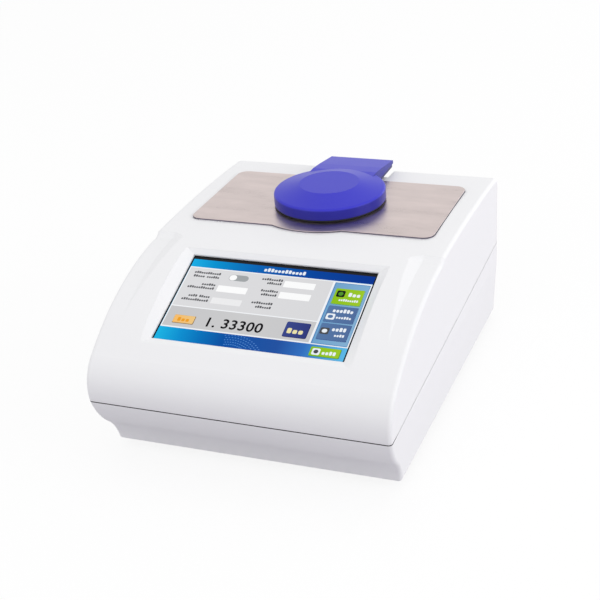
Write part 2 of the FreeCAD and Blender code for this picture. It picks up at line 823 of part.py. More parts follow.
def cheek_section(name, x, rise):
    """Side profile of the space above a cheek, its floor raised by rise."""
    start = rise_to(BROW_RISE_SHARE + CHEEK_START_SHARE * (SLOPE_END_RISE_SHARE - BROW_RISE_SHARE))
    start_y = back(CHEEK_START_SETBACK_SHARE * slope_depth)
    end = CHEEK_END_SETBACK_SHARE * slope_depth
    top = up(section_top + overrun)
    return outline(
        loose_sketch(name, "YZ", x=x),
        (start_y, up(start + rise)),
        via(back(CHEEK_MIDDLE_SETBACK_SHARE * slope_depth),
            up(rise_to(SLOPE_END_RISE_SHARE) - cheek_middle_drop + rise)),
        (back(end), up(deck_start_height - cheek_end_drop + rise)),
        via(back(end + STEP_SETBACK_SHARE * cheek_step_length),
            up(deck_start_height - STEP_RISE_SHARE * cheek_end_drop + rise)),
        (back(end + cheek_step_length), up(deck_start_height + cheek_step_over + rise)),
        (back(end + cheek_step_length), top),
        (start_y, top))


def lower_cheeks(name, form, depth):
    """Cuts the space above both cheeks out of the form, its floor this much deeper."""
    space = doc.addObject("Part::Loft", name + "_right_space")
    space.Sections = [
        cheek_section(name + "_inner_section", facet_start - depth, cheek_end_drop - depth),
        cheek_section(name + "_middle_section", cheek_half_gap - depth, -depth),
        cheek_section(name + "_outer_section", deck_half_width + overrun, -depth)]
    space.Solid = True
    space.Ruled = True
    mirrored = doc.addObject("Part::Mirroring", name + "_left_space")
    mirrored.Source = space
    mirrored.Normal = Vector(1, 0, 0)
    return cut(name, form, space, mirrored)


def tilted_slab(name, low_setback, low_height, rise, thickness):
    """A full-width slab above a line that climbs from front to rear."""
    slope = rise / body_depth
    front = low_height - overrun * slope
    back_end = low_height + rise + overrun * slope
    return extrusion(name, outline(
        loose_sketch(name + "_profile", "YZ"),
        (back(-overrun), up(front)), (rear(-overrun), up(back_end)),
        (rear(-overrun), up(back_end + thickness)), (back(-overrun), up(front + thickness))), full_width)


cheeked_form = lower_cheeks("cheeked_form", outer_form, 0)
waist_reach = value_of(base_half_width - edge_round)
foot_line = value_of(up(heel_chamfer + contact_gap))
outside = rounded("outside", cheeked_form, edge_round, lambda middle: abs(middle.x) > waist_reach)
outside = rounded("soft_outside", outside, foot_round, lambda middle: middle.z < foot_line)
inside = lower_cheeks("inside", inner_form, wall)
shell = cut("shell", outside, inside)
above_seam = tilted_slab("above_seam", 0, seam_height, seam_rise, section_top)
seam_slice = tilted_slab("seam_slice", 0, seam_height, seam_rise, seam_groove)
groove_floor = housing_form("groove_floor", seam_groove_depth)
seam_ring = cut("seam_ring", seam_slice, groove_floor)

# Screen plane: pieces drawn flat round the middle of the display, then tilted
screen_half = screen_length / 2
screen_low = rise_to(SCREEN_LOW_RISE_SHARE)
screen_tilt = asin_of((rise_to(SCREEN_HIGH_RISE_SHARE) - screen_low) / screen_length)
screen_y = back(SCREEN_SETBACK_SHARE * slope_depth + screen_half * cos_of(screen_tilt))
screen_z = up(screen_low + screen_half * sin_of(screen_tilt))


def on_screen(thing):
    thing.Placement = Placement(Vector(), Rotation(Vector(1, 0, 0), value_of(screen_tilt)))
    bind(thing, "Placement.Rotation.Angle", screen_tilt)
    return place(thing, 0, screen_y, screen_z)


def slab(name, low_x, low_y, high_x, high_y, low_z, thickness):
    """A rectangular plate in the screen's plane, raised by low_z."""
    body = body_of(name)
    pad(body, rectangle(sketch_on(body, name + "_outline", "XY", low_z), low_x, low_y, high_x, high_y),
        thickness)
    return on_screen(body)


window_low = -screen_half - window_border
window_high = screen_half + window_top_border


def window_slab(name, margin, low_z, thickness):
    return slab(name, -window_x - margin, window_low - margin, window_x + margin, window_high + margin,
                low_z, thickness)


def slope_point(along, above):
    """Side view of a point of the screen's plane: along is up the slope, above is off the glass."""
    cosine, sine = cos_of(screen_tilt), sin_of(screen_tilt)
    return (screen_y + along * cosine - above * sine, screen_z + along * sine + above * cosine)


def rim_point(setback_share, rise_share, drop):
    return (back(setback_share * slope_depth), up(rise_to(rise_share) - drop))


def recess_form(name, drop):
    """The space above the screen, with sloping walls all round. Its floor is lowered by drop."""
    floor = window_lip - drop
    top = floor + recess_reach
    low, high = window_low - recess_span, window_high + recess_span
    outer = window_x + recess_side
    ends = extrusion(name + "_ends", outline(
        loose_sketch(name + "_end_profile", "YZ"),
        slope_point(window_low, floor), slope_point(window_high, floor),
        slope_point(window_high + recess_reach / tan_of(recess_high_slope), top),
        slope_point(window_low - recess_reach / tan_of(recess_low_slope), top)), 2 * outer)
    sides = doc.addObject("Part::Loft", name + "_sides")
    sections = []
    for label, x, curved in (("left_rim", -outer, True), ("left", -window_x, False),
                             ("right", window_x, False), ("right_rim", outer, True)):
        drawing = loose_sketch("%s_%s" % (name, label), "YZ", x=x)
        above = (slope_point(high, top), slope_point(low, top))
        if curved:
            outline(drawing, rim_point(RIM_LOW_SETBACK_SHARE, RIM_LOW_RISE_SHARE, drop),
                    via(*rim_point(RIM_MIDDLE_SETBACK_SHARE, RIM_MIDDLE_RISE_SHARE, drop)),
                    rim_point(RIM_HIGH_SETBACK_SHARE, RIM_HIGH_RISE_SHARE, drop), *above)
        else:
            outline(drawing, slope_point(low, floor), slope_point(high, floor), *above)
        sections.append(drawing)
    sides.Sections = sections
    sides.Solid = True
    sides.Ruled = True
    return common(name, ends, sides)


tray_plate = window_slab("tray_plate", tray_flange, -glass_thickness, glass_thickness + window_lip)
tray_walls = recess_form("tray_walls", tray_wall)
recess = recess_form("recess", 0)
window_hole = window_slab("window_hole", 0, -overrun, overrun + window_lip)
glass_bed = window_slab("glass_bed", glass_overlap + glass_gap, -glass_thickness - overrun,
                        glass_thickness + overrun)

lcd_half_width = screen_width / 2 + lcd_margin_side
lcd_half_length = screen_half + lcd_margin_end
boss_x = lcd_half_width + screen_boss_radius + screen_boss_gap
boss_y = lcd_half_length - screen_boss_inset
module_back = -glass_thickness - lcd_thickness
frame_back = module_back - frame_thickness
screen_spots = [(side * boss_x, end * boss_y) for side in (-1, 1) for end in (-1, 1)]


def screen_bars(name, radius, low_z, length):
    """Four round bars behind the display, one near each corner."""
    bars = [cylinder("%s_%d" % (name, i), radius, length, x, y, low_z)
            for i, (x, y) in enumerate(screen_spots)]
    return on_screen(group(name, *bars))


screen_bosses = screen_bars("screen_bosses", screen_boss_radius, module_back, lcd_thickness + window_lip)
screen_boss_holes = screen_bars("screen_boss_holes", screw_radius, module_back - overrun,
                                screw_grip + overrun)

node("touch_glass", window_slab("glass_pane", glass_overlap, -glass_thickness, glass_thickness))
node("lcd_module", slab("lcd_block", -lcd_half_width, -lcd_half_length, lcd_half_width,
                        lcd_half_length, module_back, lcd_thickness))
frame_body = body_of("frame_body")
pad(frame_body, rectangle(sketch_on(frame_body, "frame_outline", "XY", frame_back),
                          -boss_x - frame_margin, -lcd_half_length, boss_x + frame_margin,
                          lcd_half_length), frame_thickness)
frame_window = rectangle(
    sketch_on(frame_body, "frame_window", "XY", module_back),
    frame_window_inset - boss_x, frame_window_inset - lcd_half_length,
    boss_x - frame_window_inset, lcd_half_length - frame_window_inset)
pocket(frame_body, frame_window, frame_thickness)
frame_holes = sketch_on(frame_body, "frame_holes", "XY", module_back)
for x, y in screen_spots:
    ring(frame_holes, screw_radius + screw_clearance, x, y)
pocket(frame_body, frame_holes, frame_thickness)
node("display_frame", on_screen(frame_body))


def fastener(name, x, y, z, along, forward, radius, length, head_radius, head_height):
    """A screw whose head rests on the point x, y, z. Forward means that the shank runs along the axis."""
    offset = {"x": 0, "y": 0, "z": 0}
    offset[along] = 1
    shank_start = 0 if forward else -length
    head_start = -head_height if forward else 0
    slot_start = -head_height if forward else head_height - screw_slot_depth

    def bar(part, size_radius, size_length, start):
        return cylinder(name + part, size_radius, size_length, x + offset["x"] * start,
                        y + offset["y"] * start, z + offset["z"] * start, along)

    solid = fuse(name + "_solid", bar("_shank", radius, length, shank_start),
                 bar("_head", head_radius, head_height, head_start))
    socket = doc.addObject("Part::Prism", name + "_socket")
    socket.Placement = Placement(Vector(), TURNS[along])
    socket.Polygon = SOCKET_SIDES
    bind(socket, "Circumradius", screw_socket)
    bind(socket, "Height", screw_slot_depth)
    place(socket, x + offset["x"] * slot_start, y + offset["y"] * slot_start, z + offset["z"] * slot_start)
    return cut(name, solid, socket)


def fasteners(name, spots, along, forward, radius, length, head_radius, head_height):
    """Identical screws in one piece."""
    singles = [fastener("%s_%d" % (name, i), x, y, z, along, forward, radius, length, head_radius,
                        head_height) for i, (x, y, z) in enumerate(spots)]
    return group(name + "_group", *singles)


node("display_screws", on_screen(fasteners(
    "display_screw", [(x, y, frame_back) for x, y in screen_spots], "z", True,
    screw_radius, screw_grip, screw_head_radius, screw_head_height)))

# Steel work surface
hinge_y = rear(hinge_inset)
lid_y = hinge_y - lid_reach
plate_low_y = back(plate_front_setback)
plate_bow_reach = lid_y - plate_low_y
plate_bow_radius = plate_bow_reach + plate_bow_depth
plate_bow_half = root_of(plate_bow_radius * plate_bow_radius - plate_bow_reach * plate_bow_reach)


def plate_outline(drawing, gap):
    low, high, side = plate_low_y - gap, rear(plate_rear_margin) + gap, plate_width / 2 + gap
    corner = plate_corner + gap
    inset = corner * ARC_SHARE
    return outline(
        drawing,
        (-side + corner, low), (-plate_bow_half, low), via(0, lid_y - plate_bow_radius - gap),
        (plate_bow_half, low), (side - corner, low), via(side - inset, low + inset),
        (side, low + corner), (side, high - corner), via(side - inset, high - inset),
        (side - corner, high), (-side + corner, high), via(-side + inset, high - inset),
        (-side, high - corner), (-side, low + corner), via(-side + inset, low + inset))


plate_floor = up(plate_top_height - plate_thickness)
plate_bed = body_of("plate_bed")
pad(plate_bed, plate_outline(sketch_on(plate_bed, "plate_bed_outline", "XY", plate_floor), plate_gap),
    plate_thickness + overrun)
deck_plate = body_of("plate_body")
pad(deck_plate, plate_outline(sketch_on(deck_plate, "plate_body_outline", "XY", plate_floor), 0),
    plate_thickness)
pocket(deck_plate, ring(sketch_on(deck_plate, "plate_hole", "XY", plate_floor + plate_thickness),
                        dish_radius + dish_hole_gap, 0, lid_y), plate_thickness)
plate_middle = value_of(plate_floor + plate_thickness / 2)
node("deck_plate", soften(deck_plate, plate_edge, lambda middle: middle.z > plate_middle))

# Sample dish with its prism, turned round the lid's axis
dish_top = plate_top_height + dish_rise
dish_bottom = dish_top - dish_depth
bowl_floor = up(dish_top - bowl_depth)


def round_lid_axis(thing):
    return place(thing, 0, lid_y, 0)


dish = turned_body(
    "dish",
    (prism_radius + seal_width, bowl_floor),
    (prism_radius + seal_width, up(dish_bottom)),
    (dish_flange_radius, up(dish_bottom)),
    (dish_flange_radius, up(dish_bottom + dish_flange_thickness)),
    (dish_radius, up(dish_bottom + dish_flange_thickness)),
    (dish_radius, up(dish_top) - dish_edge), (dish_radius - dish_edge, up(dish_top)),
    (dish_radius - dish_rim_width, up(dish_top)),
    (dish_radius - dish_rim_width, up(dish_top - bowl_lip_drop)))
round_lid_axis(dish)
dish_screw_reach = (dish_radius + dish_flange_radius + cover_hole_gap) / 2 * DIAGONAL
dish_spots = [(side * dish_screw_reach, lid_y + end * dish_screw_reach,
               up(dish_bottom + dish_flange_thickness)) for side in (-1, 1) for end in (-1, 1)]
dish_screws = fasteners("dish_screw", dish_spots, "z", False, screw_radius, screw_grip + screw_grip,
                        screw_head_radius, screw_head_height)
node("dish_screws", dish_screws)
dish_holes = [cylinder("dish_hole_%d" % i, screw_radius, screw_grip + screw_grip, x, y,
                       z - screw_grip - screw_grip) for i, (x, y, z) in enumerate(dish_spots)]
node("sample_dish", cut("sample_dish_body", dish, *dish_holes))

prism_foot = bowl_floor - prism_length
prism = turned_body(
    "prism_body", (0, prism_foot), (prism_foot_radius, prism_foot),
    (prism_radius, prism_foot + prism_taper_length), (prism_radius, bowl_floor), (0, bowl_floor))
node("prism", round_lid_axis(prism))
seal = turned_body(
    "seal_body", (prism_radius, bowl_floor - seal_length), (prism_radius + seal_width, bowl_floor - seal_length),
    (prism_radius + seal_width, bowl_floor - seal_width), (prism_radius, bowl_floor - seal_width))
node("prism_seal", round_lid_axis(seal))

# Optics block under the dish, on four pillars
block_top = up(dish_bottom)
block_low = block_top - block_height


def beam(name, radius, start, length, side):
    """A round bar along the light path that leaves the prism's foot to one side."""
    bar = doc.addObject("Part::Cylinder", name)
    bar.Placement = Placement(Vector(), Rotation(Vector(0, 1, 0), side * (90 + value_of(beam_angle))))
    bind(bar, "Radius", radius)
    bind(bar, "Height", length)
    return place(bar, side * start * cos_of(beam_angle), lid_y, prism_foot - start * sin_of(beam_angle))


beam_exit = block_width / 2 / cos_of(beam_angle)
beam_exit_z = prism_foot - beam_exit * sin_of(beam_angle)
block_core = box("block_core", block_width, block_width, block_height, 0, lid_y, block_low)
block_flange = box("block_flange", block_flange_width, block_flange_depth, block_flange_thickness,
                   0, lid_y, block_top - block_flange_thickness)
prism_pit = cylinder("prism_pit", prism_radius + prism_pit_gap, block_top - prism_foot + prism_pit_depth,
                     0, lid_y, prism_foot - prism_pit_depth)
bores = [beam("beam_bore_%d" % i, beam_radius, 0, beam_exit + holder_depth, side)
         for i, side in enumerate((-1, 1))]
probe_y = lid_y - block_width / 2
probe_z = block_top - block_flange_thickness - probe_drop
probe_hole = cylinder("probe_hole", probe_radius, probe_length, 0, probe_y - overrun, probe_z, "y")
optics_block = cut("optics_block_body", fuse("block_solid", block_core, block_flange), prism_pit,
                   probe_hole, *(bores + dish_holes))
node("optics_block", optics_block)
node("temperature_probe", cylinder("probe_bar", probe_radius, probe_length, 0, probe_y - overrun,
                                   probe_z, "y"))
pillar_top = block_top - block_flange_thickness
pillars = [cylinder("pillar_%d" % i, pillar_radius, pillar_top - up(wall), x, lid_y + y, up(wall))
           for i, (x, y) in enumerate([(side * pillar_spread_x, end * pillar_spread_y)
                                       for side in (-1, 1) for end in (-1, 1)])]
node("optics_pillars", group("pillar_group", *pillars))

holder_reach = block_width / 2 + holder_depth / 2
led_box = box("led_box", holder_depth, holder_width, holder_width, -holder_reach, lid_y,
              beam_exit_z - holder_width / 2)
lamp_start = beam_exit + lamp_collar_length
lamp = fuse("lamp_body", beam("lamp_bulb", lamp_radius, lamp_start, lamp_length, -1),
            beam("lamp_collar", lamp_collar_radius, lamp_start + lamp_length, lamp_collar_length, -1))
node("led_lamp", lamp)
lamp_bore = beam("lamp_bore", lamp_radius, beam_exit - holder_depth, holder_depth * 3, -1)
lamp_seat = beam("lamp_seat", lamp_collar_radius, lamp_start + lamp_length, holder_depth * 2, -1)
node("led_holder", cut("led_holder_body", led_box, lamp_bore, lamp_seat))
node("collimator_lens", beam("collimator_disc", beam_radius, lens_reach, lens_thickness, -1))
node("objective_lens", beam("objective_disc", beam_radius, lens_reach, lens_thickness, 1))
sensor_box = box("sensor_box", holder_depth, holder_width, holder_width, holder_reach, lid_y,
                 beam_exit_z - holder_width / 2)
sensor_face = block_width / 2 + holder_depth
sensor_z = prism_foot - sensor_face * tan_of(beam_angle)
node("sensor_housing", cut("sensor_housing_body", sensor_box,
                           beam("sensor_bore", beam_radius, 0, beam_exit + holder_depth * 2, 1)))
node("sensor_board", box("sensor_board_plate", sensor_board_thickness, sensor_board_width, holder_width,
                         sensor_face + sensor_board_thickness / 2, lid_y, beam_exit_z - holder_width / 2))
node("line_sensor", box("line_sensor_chip", line_sensor_depth, line_sensor_width, line_sensor_tall,
                        sensor_face - line_sensor_depth / 2, lid_y, sensor_z - line_sensor_tall / 2))

# Thermoelectric module and heat sink under the block
peltier_low = block_low - peltier_thickness
node("peltier_module", box("peltier_plate", peltier_width, peltier_width, peltier_thickness, 0, lid_y,
                           peltier_low))
sink_pitch = (sink_width - sink_fin_thickness) / (SINK_FINS - 1)
sink_parts = [box("sink_plate", sink_width, sink_depth, sink_base, 0, lid_y, peltier_low - sink_base)]
for i in range(SINK_FINS):
    fin_x = -sink_width / 2 + i * sink_pitch
    sink_parts.append(box("sink_fin_%d" % i, sink_fin_thickness, sink_depth, sink_fin_height, fin_x, lid_y,
                          peltier_low - sink_base - sink_fin_height, centred="y"))
node("heat_sink", fuse("sink_body", *sink_parts))

# Main board on four standoffs, and the mains supply
supply_y = rear(supply_rear_gap + supply_depth / 2)
post_x = base_half_width - post_inset
board_width = 2 * (post_x - post_radius - board_side_gap)
board_y = (back(chin_setback + wall) + supply_y - supply_depth / 2) / 2
board_low = up(board_height)
board_top = board_low + board_thickness
standoff_spots = [(side * (board_width / 2 - board_edge), board_y + end * (board_depth / 2 - board_edge))
                  for side in (-1, 1) for end in (-1, 1)]
node("main_board", box("board_plate", board_width, board_depth, board_thickness, 0, board_y, board_low))
node("board_standoffs", group("standoff_group", *[
    cylinder("standoff_%d" % i, standoff_radius, board_height - wall, x, y, up(wall))
    for i, (x, y) in enumerate(standoff_spots)]))
chips = [box("chip_%d" % i, chip_width, chip_width, chip_height, i * (chip_width + board_edge), board_y,
             board_top) for i in (-1, 0, 1)]
sockets = [box("board_socket_%d" % i, connector_width, connector_height, connector_height,
               i * (connector_width + board_edge), board_y + board_depth / 2 - connector_height, board_top)
           for i in (-2, -1, 0, 1, 2)]
node("board_parts", group("board_part_group", *(chips + sockets)))
supply_low = up(wall)
supply_outer = base_half_width - wall - supply_wall_gap
supply_inner = pillar_spread_x + pillar_radius + supply_pillar_gap
supply_width = supply_outer - supply_inner
supply_x = -(supply_outer + supply_inner) / 2
supply = box("supply_case", supply_width, supply_depth, supply_height, supply_x, supply_y, supply_low)
supply_slots = [box("supply_slot_%d" % i, supply_width / 2, supply_slot, supply_slot_depth, supply_x,
                    supply_y + i * supply_slot_pitch, supply_low + supply_height - supply_slot_depth)
                for i in (-3, -2, -1, 0, 1, 2, 3)]
node("power_supply", cut("supply_body", supply, *supply_slots))

# Rear panel behind the opening in the base's rear wall
panel_face = rear(wall)
panel_back = panel_face - panel_thickness
panel_half = opening_half_width + panel_margin
panel_body = body_of("panel_body")


def panel_sketch(name):
    """A sketch on the rear panel's inner face."""
    return sketch_on(panel_body, name, "XZ", -panel_back)


def panel_cut(name, low_x, low_z, high_x, high_z):
    pocket(panel_body, rectangle(panel_sketch(name), low_x, low_z, high_x, high_z), panel_thickness)


def panel_cut_round(name, width, tall, x, z):
    """A rectangular hole in the rear panel, centred at x, z, a little wider than the piece in it."""
    reach_x, reach_z = width / 2 + panel_hole_gap, tall / 2 + panel_hole_gap
    panel_cut(name, x - reach_x, z - reach_z, x + reach_x, z + reach_z)


pad(panel_body, rectangle(panel_sketch("panel_outline"), -panel_half, up(opening_low - panel_lap),
                          panel_half, up(opening_high + panel_lap)), panel_thickness, backwards=True)
fan_z = up(panel_height)
inlet_z = fan_z - inlet_drop
fuse_z = fan_z + fuse_rise
usb_z = fan_z + usb_rise
network_z = fan_z - network_drop


def beside_fan(share):
    """Distance from the middle, at this share of the space between the fan and the opening's side."""
    return fan_half + share * (opening_half_width - fan_half)


switch_x = -beside_fan(SWITCH_SHARE)
inlet_x = -beside_fan(INLET_SHARE)
serial_x = beside_fan(SERIAL_SHARE)
port_x = beside_fan(PORT_SHARE)
panel_cut_round("inlet_hole", inlet_body_width, inlet_body_tall, inlet_x, inlet_z)
panel_cut_round("fuse_hole", fuse_width, fuse_tall, inlet_x, fuse_z)
panel_cut_round("switch_hole", switch_width, switch_tall, switch_x, fan_z)
panel_cut_round("serial_hole", serial_shell_width, serial_shell_tall, serial_x, fan_z)
panel_cut_round("usb_hole", usb_width, usb_tall, port_x, usb_z)
panel_cut_round("network_hole", network_width, network_tall, port_x, network_z)

fan_corners = [(side * fan_screw_spread, fan_z + end * fan_screw_spread) for side in (-1, 1)
               for end in (-1, 1)]
panel_corners = [(side * (panel_half - panel_screw_inset), fan_z + end * panel_screw_offset)
                 for side in (-1, 1) for end in (-1, 1)]
small_holes = panel_sketch("panel_screw_holes")
for x, z in fan_corners + panel_corners:
    ring(small_holes, panel_screw_radius + screw_clearance, x, z)
pocket(panel_body, small_holes, panel_thickness)
GRILLE_SLOTS = 10
slot_drawing = sketch_on(panel_body, "grille_slot", "XZ", -panel_back, 0, fan_z)
rectangle(slot_drawing, -grille_slot_width / 2, grille_slot_start, grille_slot_width / 2,
          fan_bore_radius - grille_margin)
polar(panel_body, pocket(panel_body, slot_drawing, panel_thickness), slot_drawing, GRILLE_SLOTS)
node("rear_panel", panel_body)
panel_screws = fasteners("panel_screw", [(x, rear(panel_head_height), z) for x, z in panel_corners], "y",
                         False, panel_screw_radius, panel_screw_length, panel_head_radius, panel_head_height)
node("rear_panel_screws", panel_screws)
fan_screws = fasteners("fan_screw", [(x, panel_face, z) for x, z in fan_corners], "y", False,
                       panel_screw_radius, panel_screw_length, panel_head_radius, panel_head_height)
node("fan_screws", fan_screws)

# Fan behind the grille
fan_body = body_of("fan_body")


def fan_sketch(name, depth):
    """A sketch round the fan's axis, this far in front of the panel."""
    return sketch_on(fan_body, name, "XZ", depth - panel_back, 0, fan_z)


pad(fan_body, round_rectangle(fan_sketch("fan_outline", 0), -fan_half, -fan_half, fan_half, fan_half,
                              fan_spider_width), fan_depth)
pocket(fan_body, ring(fan_sketch("fan_bore", 0), fan_bore_radius), fan_depth, backwards=True)
pad(fan_body, ring(fan_sketch("fan_spider_hub", 0), fan_spider_hub_radius), fan_spider_thickness)
strut = fan_sketch("fan_strut", 0)
rectangle(strut, -fan_spider_width / 2, fan_shaft_radius + fan_spider_width, fan_spider_width / 2,
          fan_bore_radius + fan_spider_width / 2)
polar(fan_body, pad(fan_body, strut, fan_spider_thickness), strut, 4)
pocket(fan_body, ring(fan_sketch("fan_bearing", 0), fan_shaft_radius + pin_gap), fan_spider_thickness,
       backwards=True)
fan_holes = fan_sketch("fan_holes", 0)
for x, z in [(side * fan_screw_spread, end * fan_screw_spread) for side in (-1, 1) for end in (-1, 1)]:
    ring(fan_holes, panel_screw_radius, x, z)
pocket(fan_body, fan_holes, fan_depth, backwards=True)
node("fan_frame", fan_body)

FAN_BLADES = 7
rotor_rear = panel_back - fan_spider_thickness - fan_running_gap
rotor_parts = [
    cylinder("rotor_hub", fan_hub_radius, fan_hub_length, 0, rotor_rear - fan_hub_length, fan_z, "y"),
    cylinder("rotor_shaft", fan_shaft_radius, fan_running_gap + fan_spider_thickness, 0, rotor_rear, fan_z,
             "y")]
blade_length = fan_bore_radius - fan_tip_gap - fan_hub_radius / 2
for i in range(FAN_BLADES):
    blade = box("blade_%d" % i, fan_blade_thickness, fan_blade_chord, blade_length, 0, 0,
                fan_hub_radius / 2)
    pitched = group("blade_pitched_%d" % i, blade)
    pitched.Placement = Placement(Vector(), Rotation(Vector(0, 0, 1), value_of(fan_blade_pitch)))
    bind(pitched, "Placement.Rotation.Angle", fan_blade_pitch)
    turned = group("blade_turned_%d" % i, pitched)
    turned.Placement = Placement(Vector(), Rotation(Vector(0, 1, 0), 360 / FAN_BLADES * i))
    rotor_parts.append(place(turned, 0, rotor_rear - fan_hub_length / 2, fan_z))
node("fan_rotor", fuse("rotor_body", *rotor_parts))

# Mains inlet with its three pins
inlet_face = panel_face + inlet_flange
inlet_floor = inlet_face - inlet_cavity_depth
inlet_solid = fuse(
    "inlet_solid",
    box("inlet_rim", inlet_width, inlet_flange, inlet_tall, inlet_x, panel_face, inlet_z, "xz"),
    box("inlet_case", inlet_body_width, inlet_depth, inlet_body_tall, inlet_x, panel_face - inlet_depth,
        inlet_z, "xz"))
inlet_cavity = box("inlet_cavity", inlet_cavity_width, inlet_cavity_depth, inlet_cavity_tall, inlet_x,
                   inlet_floor, inlet_z, "xz")
node("mains_inlet", cut("inlet_body", inlet_solid, inlet_cavity))
node("inlet_pins", group("inlet_pin_group", *[
    box("inlet_pin_%d" % i, inlet_pin_width, inlet_pin_length, inlet_pin_tall,
        inlet_x + step * inlet_pin_spread, inlet_floor, inlet_z + lift * inlet_pin_drop, "xz")
    for i, (step, lift) in enumerate([(-1, -1), (0, 1), (1, -1)])]))

# Fuse holder, its drawer and the fuse in it
fuse_face = panel_face + fuse_flange
fuse_floor = panel_face - fuse_depth + fuse_wall
holder_solid = fuse(
    "fuse_holder_solid",
    box("fuse_rim", fuse_width + 2 * fuse_flange_margin, fuse_flange, fuse_tall + 2 * fuse_flange_margin,
        inlet_x, panel_face, fuse_z, "xz"),
    box("fuse_case", fuse_width, fuse_depth, fuse_tall, inlet_x, panel_face - fuse_depth, fuse_z, "xz"))
holder_cavity = box("fuse_cavity", fuse_width - 2 * fuse_wall, fuse_face - fuse_floor,
                    fuse_tall - 2 * fuse_wall, inlet_x, fuse_floor, fuse_z, "xz")
node("fuse_holder", cut("fuse_holder_body", holder_solid, holder_cavity))
drawer_width = fuse_width - 2 * fuse_wall - 2 * fuse_gap
drawer_tall = fuse_tall - 2 * fuse_wall - 2 * fuse_gap
drawer_start = fuse_floor + fuse_gap
drawer_solid = fuse(
    "drawer_solid",
    box("drawer_fascia", fuse_width + fuse_flange_margin, fuse_fascia, fuse_tall + fuse_flange_margin,
        inlet_x, fuse_face, fuse_z, "xz"),
    box("drawer_tray", drawer_width, fuse_face - drawer_start, drawer_tall, inlet_x, drawer_start, fuse_z,
        "xz"))
fuse_y = drawer_start + fuse_wall + fuse_pocket_width / 2
fuse_low = fuse_z - drawer_tall / 2 + fuse_fascia / 2
drawer_pocket = box("drawer_pocket", fuse_length, fuse_pocket_width, fuse_tall, inlet_x, fuse_y, fuse_low)
node("fuse_drawer", cut("drawer_body", drawer_solid, drawer_pocket))
node("fuse", cylinder("fuse_bar", fuse_radius, fuse_length, inlet_x - fuse_length / 2, fuse_y,
                      fuse_low + fuse_radius, "x"))

# Power switch: a rocker on a pin in its frame
rocker_y = panel_face - rocker_axis_depth
cavity_reach = rocker_radius + rocker_gap
switch_solid = fuse(
    "switch_solid",
    box("switch_rim_plate", switch_width + 2 * switch_rim, switch_flange, switch_tall + 2 * switch_rim,
        switch_x, panel_face, fan_z, "xz"),
    box("switch_case", switch_width, switch_depth, switch_tall, switch_x, panel_face - switch_depth, fan_z,
        "xz"))
switch_cavity = box("switch_cavity", switch_width - 2 * switch_wall, cavity_reach * 2, cavity_reach * 2,
                    switch_x, rocker_y, fan_z, "xyz")
switch_bore = cylinder("switch_bore", rocker_pin_radius + pin_gap, switch_width,
                       switch_x - switch_width / 2, rocker_y, fan_z, "x")
node("switch_frame", cut("switch_body", switch_solid, switch_cavity, switch_bore))
rocker_width = switch_width - 2 * switch_wall - 2 * rocker_gap
rocker_round = cylinder("rocker_round", rocker_radius, rocker_width, -rocker_width / 2, 0, 0, "x")
rocker_slab = box("rocker_slab", rocker_width, rocker_radius + rocker_face_reach, 2 * rocker_radius, 0,
                  -rocker_radius, 0, "xz")
rocker_pressed = common("rocker_pressed", rocker_round, rocker_slab)
rocker = fuse("rocker_body", rocker_pressed,
              cylinder("rocker_pin", rocker_pin_radius, switch_width, -switch_width / 2, 0, 0, "x"))
rocker.Placement = Placement(Vector(), Rotation(Vector(1, 0, 0), -value_of(rocker_tilt)))
bind(rocker, "Placement.Rotation.Angle", rocker_tilt)
node("power_rocker", place(rocker, switch_x, rocker_y, fan_z))


# Interface sockets
def serial_drawing(body, name, y, margin):
    """The socket's outline, narrower at its foot, on a plane across y."""
    half, tall = serial_shell_width / 2 - margin, serial_shell_tall / 2 - margin
    return outline(sketch_on(body, name, "XZ", -y, serial_x, fan_z), (serial_slant - half, -tall),
                   (half - serial_slant, -tall), (half, tall), (-half, tall))


serial_body = body_of("serial_body")
serial_face = panel_face + serial_reach
pad(serial_body, serial_drawing(serial_body, "serial_shell", serial_face, 0),
    serial_reach + serial_body_depth)
flange_drawing = sketch_on(serial_body, "serial_flange_outline", "XZ", -panel_face, serial_x, fan_z)
rectangle(flange_drawing, -serial_width / 2, -serial_tall / 2, serial_width / 2, serial_tall / 2)
pad(serial_body, flange_drawing, serial_flange, backwards=True)
pocket(serial_body, serial_drawing(serial_body, "serial_cavity", serial_face, serial_wall),
       serial_cavity_depth, backwards=True)
node("serial_socket", serial_body)
serial_floor = serial_face - serial_cavity_depth
serial_rows = [(step, 1) for step in (-2, -1, 0, 1, 2)] + [(step, -1) for step in (-1.5, -0.5, 0.5, 1.5)]
node("serial_pins", group("serial_pin_group", *[
    cylinder("serial_pin_%d" % i, serial_pin_radius, serial_pin_length, serial_x + step * serial_pin_pitch,
             serial_floor, fan_z + row * serial_pin_row / 2, "y") for i, (step, row) in enumerate(serial_rows)]))


def port(name, width, tall, depth, z, wall_thickness, cavity_depth):
    """A rectangular socket that stands out of the panel a little and has a wider case behind it."""
    face = panel_face + port_reach
    inner_width, inner_tall = width - 2 * wall_thickness, tall - 2 * wall_thickness
    nose = box(name + "_nose", width, face - panel_back, tall, port_x, panel_back, z, "xz")
    case = box(name + "_case", width + 2 * port_collar, depth, tall + 2 * port_collar, port_x,
               panel_back - depth, z, "xz")
    cavity = box(name + "_cavity", inner_width, cavity_depth, inner_tall, port_x, face - cavity_depth, z, "xz")
    return node(name, cut(name + "_body", fuse(name + "_solid", nose, case), cavity))


